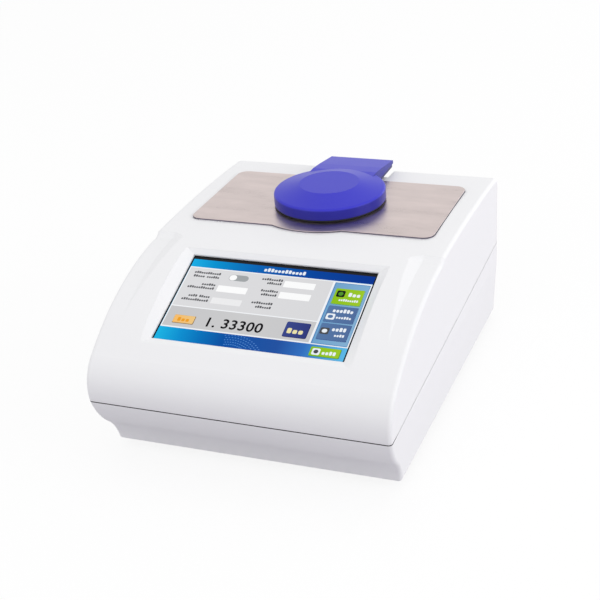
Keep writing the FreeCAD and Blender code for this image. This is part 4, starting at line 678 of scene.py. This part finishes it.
class Shade(Enum):
    """Finishes by what they are."""

    # The housing carries a painted shadow line along the groove between its two mouldings.
    HOUSING = Moulding("white_housing", paint(242, 242, 244), roughness=0.44, grain=0.0007,
                       depth=0.00003, coat=0.02, edge=0.0010, variation=0.015, shine=0.3, seam_shadow=SeamShadow())
    RUBBER = Moulding("black_rubber", paint(20, 20, 21), roughness=0.75, grain=0.0005, depth=0.00006)
    SEAL = Moulding("cell_seal", paint(60, 60, 62), roughness=0.6, grain=0.0004, depth=0.00003)
    PRESSER = Moulding("presser_pad", paint(52, 52, 58), roughness=0.7, grain=0.0005)
    BLACK = Moulding("black_moulding", paint(30, 30, 31), roughness=0.5, grain=0.0005)
    GREY = Moulding("dark_moulding", paint(52, 53, 55), roughness=0.5, grain=0.0005)
    CHIP = Moulding("chip_moulding", paint(24, 24, 26), grain=0.0004, depth=0.00003)
    INSERT = Moulding("white_insert", paint(224, 224, 222), roughness=0.5, grain=0.0005, depth=0.00003)
    CERAMIC = Moulding("ceramic_plate", paint(232, 232, 226), roughness=0.55, grain=0.0003,
                       depth=0.00002)
    # The lid's upright faces get painted shade through sides.
    LID = Moulding("blue_lid", paint(60, 59, 199), roughness=0.34, grain=0.0009, depth=0.00002,
                   coat=0.03, edge=0.0010, variation=0.05, shine=0.16, sides=0.55)
    LINER = Moulding("lid_liner", paint(44, 42, 110), depth=0.00003)
    # The steel plate's edge carries the painted shadow line and the painted reflection band.
    SURFACE = Metal("steel_work_surface", paint(217, 203, 200), roughness=0.30, stretch=(1.0, 26.0, 1.0),
                    mark=0.006, depth=0.00001, streaks=0.20, plate="deck_plate")
    STAINLESS = Metal("stainless", paint(200, 200, 200), roughness=0.22, mark=0.0008)
    ZINC = Metal("zinc_screws", paint(178, 178, 180), roughness=0.35)
    SHEET = Metal("bare_sheet", paint(196, 198, 200), roughness=0.38, stretch=(1.0, 14.0, 1.0),
                  mark=0.004)
    FINS = Metal("heat_sink_metal", paint(186, 188, 190), roughness=0.4, stretch=(1.0, 10.0, 1.0),
                 mark=0.003)
    ANODISED = Metal("black_anodised", paint(40, 40, 42), roughness=0.5, metallic=0.6)
    NICKEL = Metal("nickel", paint(214, 210, 204), roughness=0.25)
    BRASS = Metal("contact_brass", paint(214, 180, 108), roughness=0.3)
    OPTICS = Glass("optical_glass", (0.92, 0.96, 0.97), clear=1.0, roughness=0.02)
    PANE = Moulding("touch_glass", paint(9, 9, 12), roughness=0.18, grain=0.004, depth=0.000004,
                    coat=0.06, edge=0.0003, variation=0.1, shine=0.12)
    MODULE = Moulding("display_module", paint(22, 22, 24), roughness=0.3, grain=0.0008, depth=0.00002)
    PCB = Board("green_board", mask=paint(16, 84, 44), track=paint(34, 120, 62))


FINISHED: dict[str, bpy.types.Material] = {}


def material_of(finish: Any) -> bpy.types.Material:
    """The finish's material, built once.

    Args:
        finish: A frozen finish.

    Returns:
        Its material.
    """
    if finish.name not in FINISHED:
        FINISHED[finish.name] = finish.make()
    return FINISHED[finish.name]


def dress(nodes: Mapping[str, bpy.types.Object], names: Iterable[str], shade: Shade) -> None:
    """Gives solid parts a finish.

    Args:
        nodes: The frame's solid parts by name.
        names: Names of the parts to dress.
        shade: Their finish.
    """
    material = material_of(shade.value)
    for name in names:
        for holder in nodes[name].material_slots:
            holder.material = material
        LOG.info("dressed %s in %s", name, material.name)


def rounded_loop(low: Point, high: Point, radius: float, steps: int = 5) -> list[Point]:
    """Corners of a rectangle with rounded corners.

    Args:
        low: Lower left corner.
        high: Upper right corner.
        radius: Corner radius.
        steps: Points on each rounded corner after its first.

    Returns:
        The points, counter-clockwise.
    """
    radius = min(radius, (high[0] - low[0]) / 2, (high[1] - low[1]) / 2)
    if radius <= 0:
        return [low, (high[0], low[1]), high, (low[0], high[1])]
    centres = [(high[0] - radius, low[1] + radius, -90), (high[0] - radius, high[1] - radius, 0),
               (low[0] + radius, high[1] - radius, 90), (low[0] + radius, low[1] + radius, 180)]
    points = []
    for x, y, start in centres:
        for step in range(steps + 1):
            angle = math.radians(start + 90 * step / steps)
            points.append((x + radius * math.cos(angle), y + radius * math.sin(angle)))
    return points


@unique
class Tint(Enum):
    """Lit colours of the picture: (share of the width, red, green, blue) stops from left to right."""

    HEADER = ((0.0, 24, 175, 231), (0.13, 2, 146, 210), (0.27, 4, 118, 190), (0.38, 3, 98, 182),
              (0.69, 3, 67, 157), (1.0, 5, 53, 146))
    FOOTER = ((0.0, 26, 182, 230), (0.13, 8, 144, 210), (0.24, 2, 114, 188), (0.36, 8, 82, 164),
              (0.65, 34, 82, 162), (0.78, 50, 112, 192), (1.0, 94, 188, 234))
    PAGE = ((0.0, 222, 222, 224), (1.0, 219, 219, 221))
    READOUT = ((0.0, 200, 200, 202), (0.4, 205, 205, 206), (1.0, 199, 199, 201))
    LINE = ((0.0, 246, 248, 250), (1.0, 240, 243, 247))
    FIELD = ((0.0, 255, 255, 255), (1.0, 251, 252, 252))
    FAINT_FIELD = ((0.0, 239, 239, 240), (1.0, 236, 236, 238))
    WORDS = ((0.0, 84, 84, 88), (1.0, 74, 76, 80))
    DIGITS = ((0.0, 16, 16, 20), (1.0, 20, 20, 24))
    COLUMN = ((0.8, 112, 164, 206), (1.0, 134, 178, 212))
    COLUMN_EDGE = ((0.0, 58, 116, 180), (1.0, 72, 132, 190))
    GREEN = ((0.8, 140, 194, 24), (1.0, 160, 202, 44))
    GREEN_EDGE = ((0.0, 72, 140, 40), (1.0, 84, 150, 44))
    VIOLET = ((0.8, 88, 122, 168), (1.0, 80, 108, 156))
    VIOLET_EDGE = ((0.0, 52, 72, 132), (1.0, 58, 78, 138))
    BLUE_KEY = ((0.64, 58, 72, 140), (0.76, 50, 60, 126))
    BLUE_KEY_EDGE = ((0.0, 30, 38, 92), (1.0, 34, 42, 98))
    ORANGE = ((0.05, 250, 190, 104), (0.16, 240, 200, 132))
    ORANGE_EDGE = ((0.0, 136, 108, 72), (1.0, 130, 102, 68))
    AMBER = ((0.0, 240, 160, 40), (1.0, 232, 152, 36))
    GLINT = ((0.3, 70, 136, 212), (0.6, 96, 146, 214))
    MARK = ((0.0, 232, 240, 246), (1.0, 238, 244, 250))
    TOGGLE = ((0.0, 166, 170, 172), (1.0, 156, 160, 162))
    GOLD = ((0.0, 232, 214, 120), (1.0, 238, 232, 190))

    def ink(self) -> Ink:
        """The finish of this colour."""
        return Ink("ink_" + self.name.lower(), tuple((stop[0], paint(*stop[1:])) for stop in self.value))

    def edge(self) -> "Tint":
        """The darker colour of a raised key's edge."""
        return Tint[self.name + "_EDGE"]


class Layer(IntEnum):
    """Layers of the picture, counted up from the glass."""

    BORDER = 1
    BACKDROP = 2
    FRAME = 3
    PAGE = 4
    FIELD = 5
    FACE = 6
    WORDS = 7
    MARK = 8


@dataclass(frozen=True)
class Panel:
    """One flat patch of the display's picture, in millimetres from the display's middle.

    Attributes:
        low: Lower left corner.
        high: Upper right corner.
        tint: Its colour.
        layer: The layer that it lies on.
        radius: Corner radius.
    """

    low: Point
    high: Point
    tint: Tint
    layer: Layer
    radius: float = 0.0


@dataclass(frozen=True)
class Words:
    """A row of small blocks where a page has words, so nothing can be read, in millimetres.

    Attributes:
        left: Left end.
        foot: Foot of the blocks.
        widths: Widths of the words.
        height: Height of the tallest blocks.
        tint: Their colour.
        gap: Space between two words.
        pitch_share: Distance between blocks as a share of the height, before they fill the word.
        width_share: Width of a block as a share of that distance.
        round_share: Corner radius as a share of the height.
        height_shares: Heights that the blocks take in turn.
        stride: How many of those heights each block moves on.
    """

    left: float
    foot: float
    widths: tuple[float, ...]
    height: float = 2.5
    tint: Tint = Tint.WORDS
    gap: float = 1.6
    pitch_share: float = 0.75
    width_share: float = 0.76
    round_share: float = 0.2
    height_shares: tuple[float, ...] = (1.0, 0.7, 0.74, 0.96, 0.7)
    stride: int = 3

    @classmethod
    def ending(cls, right: float, foot: float, widths: tuple[float, ...]) -> "Words":
        """A row that ends at a given place.

        Args:
            right: Right end.
            foot: Foot of the blocks.
            widths: Widths of the words.

        Returns:
            The row.
        """
        reach = sum(widths) + cls.gap * (len(widths) - 1)
        return cls(right - reach, foot, widths)

    def panels(self) -> list[Panel]:
        """Lays out the row.

        Returns:
            Its panels.
        """
        panels = []
        left = self.left
        for width in self.widths:
            count = max(2, round(width / (self.pitch_share * self.height)))
            pitch = width / count
            for letter in range(count):
                turn = (self.stride * letter + count) % len(self.height_shares)
                start = left + letter * pitch
                end = start + self.width_share * pitch
                head = self.foot + self.height * self.height_shares[turn]
                panels.append(Panel((start, self.foot), (end, head), self.tint, Layer.WORDS,
                                    self.round_share * self.height))
            left += width + self.gap
        return panels


@dataclass(frozen=True)
class Icon:
    """A small round-cornered icon with a round mark, in millimetres.

    Attributes:
        low: Lower left corner.
        high: Upper right corner.
        face: Its colour.
        mark: The mark's colour.
        inset_share: Space round the mark as a share of the width.
        radius: Corner radius.
    """

    low: Point
    high: Point
    face: Tint
    mark: Tint
    inset_share: float = 0.2
    radius: float = 1.2

    def panels(self) -> list[Panel]:
        """Lays out the icon.

        Returns:
            Its panels.
        """
        inset = self.inset_share * (self.high[0] - self.low[0])
        low = (self.low[0] + inset, self.low[1] + inset)
        high = (self.high[0] - inset, self.high[1] - inset)
        return [Panel(self.low, self.high, self.face, Layer.WORDS, self.radius),
                Panel(low, high, self.mark, Layer.MARK, 0.5 * (high[1] - low[1]))]


@dataclass(frozen=True)
class Key:
    """A raised key: a darker edge below and to the right, the face, and what is on it.

    Attributes:
        low: Lower left corner of the face.
        high: Upper right corner of the face.
        tint: Colour of the face.
        marks: Its words and icons.
        radius: Corner radius.
        edge: Width of the edge below and to the right, in millimetres.
        rim: Width of the edge above and to the left, in millimetres.
    """

    low: Point
    high: Point
    tint: Tint
    marks: tuple[Words | Icon, ...]
    radius: float = 1.0
    edge: float = 0.6
    rim: float = 0.1

    def panels(self) -> list[Panel]:
        """Lays out the key.

        Returns:
            Its panels.
        """
        low = (self.low[0] - self.rim, self.low[1] - self.edge)
        high = (self.high[0] + self.edge, self.high[1] + self.rim)
        panels = [Panel(low, high, self.tint.edge(), Layer.FIELD, self.radius),
                  Panel(self.low, self.high, self.tint, Layer.FACE, self.radius)]
        for mark in self.marks:
            panels += mark.panels()
        return panels


@dataclass(frozen=True)
class Fan:
    """Rows of small light dots that fan out over the footer, in millimetres.

    Attributes:
        middle: Where the rows bend round.
        reach: How far the first row is from there, across and up.
        pitch: Distance between rows.
        rows: Number of rows.
        dots: Number of dots in a full row.
        start: Angle of the first dot in degrees.
        step: Angle between dots in degrees.
        stagger: Angle by which every other row is turned, in degrees.
        foot: Height over which dots show.
        head: Height under which dots show.
        dot: Width and height of a dot.
        radius: Corner radius of a dot.
    """

    middle: Point = (-14.0, -60.0)
    reach: Point = (21.0, 20.0)
    pitch: float = 2.3
    rows: int = 5
    dots: int = 14
    start: float = 104.0
    step: float = 5.0
    stagger: float = 2.0
    foot: float = -42.2
    head: float = -30.6
    dot: Point = (1.2, 0.7)
    radius: float = 0.3

    def panels(self) -> list[Panel]:
        """Lays out the dots.

        Returns:
            Their panels.
        """
        panels = []
        for row in range(self.rows):
            for dot in range(self.dots):
                angle = math.radians(self.start - self.step * dot - self.stagger * (row % 2))
                x = self.middle[0] + (self.reach[0] + self.pitch * row) * math.cos(angle)
                y = self.middle[1] + (self.reach[1] + self.pitch * row) * math.sin(angle)
                if self.foot < y < self.head:
                    panels.append(Panel((x, y), (x + self.dot[0], y + self.dot[1]), Tint.GLINT,
                                        Layer.FRAME, self.radius))
        return panels


@dataclass
class Display:
    """The touch screen: dark glass with a lit picture on it.

    Attributes:
        middle: Middle of the lit area.
        tilt: Slope of the screen in degrees.
        width: Width of the lit area.
        length: Length of the lit area.
        layer: Distance between the picture's layers.
        left_border: Dark border at the left, in millimetres, as all that follow.
        right_border: Dark border at the right.
        header_foot: Foot of the header.
        frame_left: Left end of the page's frame, from the border.
        frame_foot: Foot of the page's frame.
        frame_head: Upper end of the page's frame.
        split: Where the page's frame ends and the column of keys starts.
        page_left: Left end of the page and the readout, from the border.
        page: Page's right end, foot and head.
        readout: Readout's right end, foot and head.
        patches: Patches with places of their own.
        rows: (right end, rows of (foot, widths of the words)) beside the fields.
        title: Words in the header.
        keys: The keys.
        fan: Dots on the footer.
        reading: Number on the large readout.
        reading_place: Its lower left corner.
        reading_height: Height of its digits.
        size_share: Type size as a share of the digits' height.
        boldness_share: How much the strokes grow on each side, as a share of the type size.
        spacing: Distance between digits, where 1 is plain.
    """

    middle: tuple[float, float, float] = (0.0, -0.082592, 0.114030)
    tilt: float = 20.2
    width: float = SCREEN_WIDTH
    length: float = 0.0859
    layer: float = 0.00003
    left_border: float = 0.5
    right_border: float = 0.9
    header_foot: float = 35.0
    frame_left: float = 0.2
    frame_foot: float = -29.7
    frame_head: float = 34.7
    split: float = 46.2
    page_left: float = 1.1
    page: tuple[float, float, float] = (45.1, -7.2, 33.7)
    readout: tuple[float, float, float] = (45.1, -28.5, -8.2)
    patches: tuple[Panel, ...] = (
        Panel((46.9, -28.8), (75.2, 33.3), Tint.COLUMN_EDGE, Layer.PAGE),
        Panel((47.7, -28.2), (74.8, 32.7), Tint.COLUMN, Layer.FIELD),
        Panel((-40.0, 23.8), (-23.4, 30.1), Tint.TOGGLE, Layer.FIELD, 3.1),
        Panel((-39.6, 24.1), (-33.3, 29.8), Tint.FIELD, Layer.FACE, 2.8),
        Panel((-45.4, 11.0), (-20.2, 17.6), Tint.FIELD, Layer.FIELD, 0.5),
        Panel((-45.4, -1.7), (-20.2, 4.6), Tint.FAINT_FIELD, Layer.FIELD, 0.5),
        Panel((6.8, 22.8), (32.3, 29.3), Tint.FIELD, Layer.FIELD, 0.5),
        Panel((6.8, 11.0), (32.3, 17.6), Tint.FIELD, Layer.FIELD, 0.5))
    rows: tuple[tuple[float, tuple[tuple[float, tuple[float, ...]], ...]], ...] = (
        (-47.5, ((27.9, (22.8,)), (24.0, (9.8, 10.9)), (16.0, (12.0,)),
                 (12.2, (23.0,)), (3.2, (7.6, 9.2)), (-0.9, (23.0,)))),
        (5.3, ((27.9, (17.6,)), (24.1, (12.2,)), (16.0, (14.4,)),
               (12.0, (13.0,)), (3.0, (17.6,)), (-1.1, (13.2,)))))
    title: Words = Words(-14.0, 36.9, (35.2,), 3.8, Tint.MARK)
    keys: tuple[Key, ...] = (
        Key((-68.4, -24.6), (-51.2, -16.8), Tint.ORANGE,
            (Words(-65.0, -23.0, (10.6,), 4.2, Tint.AMBER),), radius=0.8),
        Key((22.8, -25.4), (41.4, -10.9), Tint.BLUE_KEY,
            (Words(25.2, -22.2, (13.8,), 5.4, Tint.GOLD),), radius=1.4),
        Key((49.6, 11.6), (72.4, 27.5), Tint.GREEN,
            (Icon((51.3, 18.8), (57.9, 25.4), Tint.DIGITS, Tint.GREEN_EDGE),
             Words(60.9, 20.0, (10.0,), 4.2, Tint.MARK),
             Words(54.8, 14.8, (15.6,), 2.4, Tint.MARK))),
        Key((49.3, -6.5), (72.4, 9.5), Tint.VIOLET,
            (Words(53.8, 3.2, (16.6,), 3.8, Tint.MARK),
             Icon((50.2, -4.3), (57.1, 1.6), Tint.MARK, Tint.VIOLET),
             Words(58.2, -2.8, (12.2,), 2.6, Tint.MARK))),
        Key((49.3, -24.0), (72.4, -8.2), Tint.VIOLET,
            (Icon((50.2, -19.0), (57.1, -12.6), Tint.WORDS, Tint.MARK),
             Words(59.0, -15.2, (11.4,), 3.9, Tint.MARK),
             Words(62.2, -20.4, (8.2,), 2.6, Tint.MARK))),
        Key((48.8, -40.3), (71.9, -31.8), Tint.GREEN,
            (Icon((50.5, -39.4), (56.7, -33.2), Tint.MARK, Tint.WORDS),
             Words(58.4, -38.4, (11.2,), 3.6, Tint.MARK))))
    fan: Fan = Fan()
    reading: str = "1. 33300"
    reading_place: Point = (-42.2, -25.1)
    reading_height: float = 9.4
    size_share: float = 1.38
    boldness_share: float = 0.02
    spacing: float = 1.06

    def frame(self) -> Matrix:
        """Matrix that lays flat drawing on the screen's plane."""
        return Matrix.Translation(self.middle) @ Matrix.Rotation(math.radians(self.tilt), 4, "X")

    def picture(self) -> list[Panel]:
        """Lays out the whole picture.

        Returns:
            All its panels.
        """
        side, end = self.width / MM / 2, self.length / MM / 2
        left, right = self.left_border - side, side - self.right_border
        panels = [
            Panel((-side, -end), (side, end), Tint.DIGITS, Layer.BORDER),
            Panel((left, -end), (right, end), Tint.FOOTER, Layer.BACKDROP),
            Panel((left, self.header_foot), (right, end), Tint.HEADER, Layer.FRAME),
            Panel((left + self.frame_left, self.frame_foot), (self.split, self.frame_head), Tint.LINE,
                  Layer.FRAME),
            Panel((self.split, self.frame_foot), (right, self.frame_head), Tint.LINE, Layer.FRAME)]
        for tint, (reach, foot, head) in ((Tint.PAGE, self.page), (Tint.READOUT, self.readout)):
            panels.append(Panel((left + self.page_left, foot), (reach, head), tint, Layer.PAGE))
        panels += self.patches
        for reach, lines in self.rows:
            for foot, widths in lines:
                panels += Words.ending(reach, foot, widths).panels()
        for part in (self.title, *self.keys, self.fan):
            panels += part.panels()
        return panels

    def place(self, piece: bpy.types.Object, spot: Matrix) -> None:
        """Lays a piece on the screen and lets it ride with the housing.

        Args:
            piece: The piece.
            spot: Where it lies on the screen's plane.
        """
        bpy.context.scene.collection.objects.link(piece)
        piece.matrix_world = self.frame() @ spot
        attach(piece, "housing")
        LOG.info("built %s", piece.name)

    def build_picture(self) -> None:
        """Builds the picture as one piece of thin patches."""
        tints = list(Tint)
        vertices: list[tuple[float, float, float]] = []
        faces: list[range] = []
        kinds: list[int] = []
        for panel in self.picture():
            low, high = ((x * MM, y * MM) for x, y in (panel.low, panel.high))
            loop = rounded_loop(low, high, panel.radius * MM)
            faces.append(range(len(vertices), len(vertices) + len(loop)))
            vertices += [(x, y, panel.layer * self.layer) for x, y in loop]
            kinds.append(tints.index(panel.tint))
        mesh = bpy.data.meshes.new("screen_picture")
        mesh.from_pydata(vertices, [], faces)
        for tint in tints:
            mesh.materials.append(material_of(tint.ink()))
        mesh.polygons.foreach_set("material_index", kinds)
        mesh.update()
        self.place(bpy.data.objects.new("screen_picture", mesh), Matrix.Identity(4))

    def build_reading(self) -> None:
        """Builds the number on the large readout."""
        curve = bpy.data.curves.new("screen_reading_digits", "FONT")
        curve.body = self.reading
        curve.size = self.reading_height * MM * self.size_share
        curve.space_character = self.spacing
        curve.offset = self.boldness_share * curve.size
        source = bpy.data.objects.new("screen_reading_digits", curve)
        mesh = bpy.data.meshes.new_from_object(source)
        bpy.data.objects.remove(source)
        mesh.materials.clear()
        mesh.materials.append(material_of(Tint.DIGITS.ink()))
        x, y = self.reading_place
        self.place(bpy.data.objects.new("screen_reading", mesh),
                   Matrix.Translation((x * MM, y * MM, self.layer * Layer.WORDS)))

    def build_all(self, nodes: Mapping[str, bpy.types.Object]) -> None:
        """Builds and dresses the display.

        Args:
            nodes: The frame's solid parts by name.
        """
        dress(nodes, ["touch_glass"], Shade.PANE)
        dress(nodes, ["lcd_module"], Shade.MODULE)
        dress(nodes, ["display_frame"], Shade.SHEET)
        dress(nodes, ["display_screws"], Shade.ZINC)
        self.build_picture()
        self.build_reading()


@dataclass
class Assembly:
    """Solid parts that belong together and keep their CAD shape.

    Attributes:
        finishes: Names of the parts by their finish.
    """

    finishes: dict[Shade, tuple[str, ...]]

    def build_all(self, nodes: Mapping[str, bpy.types.Object]) -> None:
        """Dresses the parts.

        Args:
            nodes: The frame's solid parts by name.
        """
        for shade, names in self.finishes.items():
            dress(nodes, names, shade)


@dataclass
class Housing(Assembly):
    """The two white mouldings, their feet and screws."""

    finishes: dict[Shade, tuple[str, ...]] = field(default_factory=lambda: {
        Shade.HOUSING: ("base_shell", "top_cover"),
        Shade.RUBBER: ("foot_front_left", "foot_front_right", "foot_rear_left", "foot_rear_right"),
        Shade.ZINC: ("foot_screws", "cover_screws")})


@dataclass
class WorkSurface(Assembly):
    """The steel plate with the measuring cell in it."""

    finishes: dict[Shade, tuple[str, ...]] = field(default_factory=lambda: {
        Shade.SURFACE: ("deck_plate",),
        Shade.STAINLESS: ("sample_dish",),
        Shade.OPTICS: ("prism",),
        Shade.SEAL: ("prism_seal",),
        Shade.ZINC: ("dish_screws",),
        Shade.NICKEL: ("deck_magnet",)})


@dataclass
class Lid(Assembly):
    """The round blue lid, its arm and its hinge."""

    finishes: dict[Shade, tuple[str, ...]] = field(default_factory=lambda: {
        Shade.LID: ("lid_shell",),
        Shade.LINER: ("lid_base",),
        Shade.RUBBER: ("lid_gasket",),
        Shade.PRESSER: ("lid_presser",),
        Shade.NICKEL: ("lid_magnet",),
        Shade.STAINLESS: ("hinge_pin", "hinge_bracket"),
        Shade.ZINC: ("hinge_screws",)})


@dataclass
class Interior(Assembly):
    """Optics, cooling and electronics inside the housing."""

    finishes: dict[Shade, tuple[str, ...]] = field(default_factory=lambda: {
        Shade.ANODISED: ("optics_block", "led_holder", "sensor_housing"),
        Shade.OPTICS: ("led_lamp", "collimator_lens", "objective_lens"),
        Shade.PCB: ("main_board", "sensor_board"),
        Shade.CHIP: ("board_parts", "line_sensor"),
        Shade.STAINLESS: ("temperature_probe",),
        Shade.CERAMIC: ("peltier_module",),
        Shade.FINS: ("heat_sink",),
        Shade.ZINC: ("board_standoffs", "optics_pillars"),
        Shade.SHEET: ("power_supply",)})


@dataclass
class RearPanel(Assembly):
    """The rear panel with its fan, inlet, fuse, switch and sockets."""

    finishes: dict[Shade, tuple[str, ...]] = field(default_factory=lambda: {
        Shade.SHEET: ("rear_panel", "usb_socket", "network_socket", "serial_socket"),
        Shade.BLACK: ("mains_inlet", "fuse_holder", "fuse_drawer", "switch_frame", "power_rocker"),
        Shade.GREY: ("fan_frame", "fan_rotor"),
        Shade.ZINC: ("rear_panel_screws", "fan_screws"),
        Shade.BRASS: ("inlet_pins", "serial_pins"),
        Shade.INSERT: ("usb_tongue",),
        Shade.OPTICS: ("fuse",)})


class Ray(Enum):
    """Rays that see the background as plain white."""

    CAMERA = "Is Camera Ray"
    GLOSSY = "Is Glossy Ray"
    TRANSMISSION = "Is Transmission Ray"


@dataclass
class Softbox:
    """One large soft lamp.

    Attributes:
        name: Name of the lamp.
        place: Where it stands.
        width: Its width.
        watts: Its power.
        mirrored: Whether glossy surfaces show it.
    """

    name: str
    place: tuple[float, float, float]
    width: float
    watts: float
    mirrored: bool = True

    def build(self, target: Vector) -> None:
        """Builds the lamp.

        Args:
            target: What it faces.
        """
        lamp = bpy.data.lights.new(self.name, "AREA")
        lamp.size = self.width
        lamp.energy = self.watts
        holder = bpy.data.objects.new(self.name, lamp)
        bpy.context.scene.collection.objects.link(holder)
        holder.visible_glossy = self.mirrored
        holder.location = self.place
        holder.rotation_euler = (target - Vector(self.place)).to_track_quat("-Z", "Y").to_euler()


@dataclass
class Studio:
    """Floor, light and camera.

    Attributes:
        target: What the lamps face.
        lamps: The soft lamps.
        ambient: Strength of the plain light from all round.
        bounce: Colour by which the floor lights the object.
        glow: Share of plain white in the floor that the camera sees.
        reach: How far the floor goes each way.
        fibre: Width of one fibre of the floor's paper.
        fibre_strength: How much the fibres show.
        eye: Where the camera stands.
        yaw: How far the camera is turned to the object's right, in degrees.
        pitch: How far it looks down, in degrees.
        roll: How far it leans, in degrees.
        lens: Focal length in millimetres on the sensor.
        sensor: Width of the sensor in millimetres.
        far: How far the camera sees.
    """

    target: tuple[float, float, float] = (0.0, 0.0, 0.09)
    lamps: tuple[Softbox, ...] = (
        Softbox("right_softbox", (2.2, 0.0, 0.72), 1.4, 18.0),
        Softbox("rear_softbox", (1.0, 2.1, 0.45), 1.2, 5.0),
        Softbox("front_softbox", (-0.9, -2.0, 0.8), 1.6, 7.5),
        Softbox("top_softbox", (0.1, 0.2, 2.4), 2.0, 6.0, mirrored=False))
    ambient: float = 0.76
    bounce: Colour = (0.44, 0.42, 0.475)
    glow: float = 0.87
    reach: float = 9.0
    fibre: float = 0.004
    fibre_strength: float = 0.06
    eye: tuple[float, float, float] = (0.371, -0.8692, 0.554)
    yaw: float = 23.46
    pitch: float = 26.63
    roll: float = -4.75
    lens: float = 77.04
    sensor: float = 36.0
    far: float = 50.0

    def blend(self, bench: Bench, rays: bpy.types.Node, camera: Field,
              plain: bpy.types.Node, white: bpy.types.Node) -> None:
        """Joins a plain shader with the white that the camera, metal and glass see.

        Args:
            bench: The material's or the world's bench.
            rays: Its Light Path node.
            camera: Share of white that the camera sees.
            plain: The shader that lights the object.
            white: The white shader.
        """
        seen = camera
        for ray in (Ray.GLOSSY, Ray.TRANSMISSION):
            seen = seen + Field(bench, rays.outputs[ray.value])
        mix = bench.add("ShaderNodeMixShader", None,
                        {0: seen.clamped(), 1: plain.outputs[0], 2: white.outputs[0]})
        bench.feed(bench.output.inputs[0], mix.outputs[0])

    def floor(self) -> None:
        """Builds the pale floor."""
        mesh = bpy.data.meshes.new("floor")
        corners = [(-self.reach, -self.reach, 0), (self.reach, -self.reach, 0),
                   (self.reach, self.reach, 0), (-self.reach, self.reach, 0)]
        mesh.from_pydata(corners, [], [range(len(corners))])
        floor = bpy.data.objects.new("floor", mesh)
        bpy.context.scene.collection.objects.link(floor)
        bench = Bench.of_material("floor_paper")
        rays = bench.add("ShaderNodeLightPath")
        camera = Field(bench, rays.outputs[Ray.CAMERA.value])
        fibre = bench.noise(self.fibre, detail=2.0) * self.fibre_strength
        bench.finish(Base_Color=bench.between((camera - fibre).clamped(), self.bounce, WHITE),
                     Roughness=0.9, Specular_IOR_Level=0.1)
        glow = bench.add("ShaderNodeEmission", None, {"Color": WHITE, "Strength": 1.0})
        self.blend(bench, rays, camera * self.glow, bench.shader, glow)
        mesh.materials.append(bench.material)

    def sky(self) -> None:
        """Plain light from all round, seen as white."""
        world = bpy.data.worlds.new("studio")
        bpy.context.scene.world = world
        world.use_nodes = True
        bench = Bench.of_world(world)
        rays = bench.add("ShaderNodeLightPath")
        plain = bench.add("ShaderNodeBackground", None, {0: WHITE, 1: self.ambient})
        white = bench.add("ShaderNodeBackground", None, {0: WHITE, 1: 1.0})
        self.blend(bench, rays, Field(bench, rays.outputs[Ray.CAMERA.value]), plain, white)

    def camera(self) -> None:
        """Builds the camera at the photograph's viewing angle."""
        yaw, pitch, roll = (math.radians(angle) for angle in (self.yaw, self.pitch, self.roll))
        back = Vector((math.sin(yaw) * math.cos(pitch), -math.cos(yaw) * math.cos(pitch),
                       math.sin(pitch)))
        level = Vector((math.cos(yaw), math.sin(yaw), 0.0))
        above = back.cross(level)
        right = math.cos(roll) * level + math.sin(roll) * above
        up = -math.sin(roll) * level + math.cos(roll) * above
        data = bpy.data.cameras.new("camera")
        data.sensor_width = self.sensor
        data.sensor_fit = "HORIZONTAL"
        data.lens = self.lens
        data.clip_end = self.far
        camera = bpy.data.objects.new("camera", data)
        bpy.context.scene.collection.objects.link(camera)
        camera.matrix_world = Matrix.Translation(self.eye) @ Matrix(
            (right, up, back)).transposed().to_4x4()
        bpy.context.scene.camera = camera

    def build_all(self) -> None:
        """Builds floor, light and camera."""
        self.floor()
        self.sky()
        for lamp in self.lamps:
            lamp.build(Vector(self.target))
        self.camera()
        bpy.context.scene.view_settings.view_transform = "Standard"


def main() -> None:
    """Loads the frame, dresses every part and sets up the studio."""
    logging.basicConfig()
    LOG.setLevel(logging.INFO)
    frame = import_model()
    nodes = frame["nodes"]
    for part in (Housing(), Display(), WorkSurface(), Lid(), Interior(), RearPanel()):
        part.build_all(nodes)
    Studio().build_all()


if __name__ == "__main__":
    main()
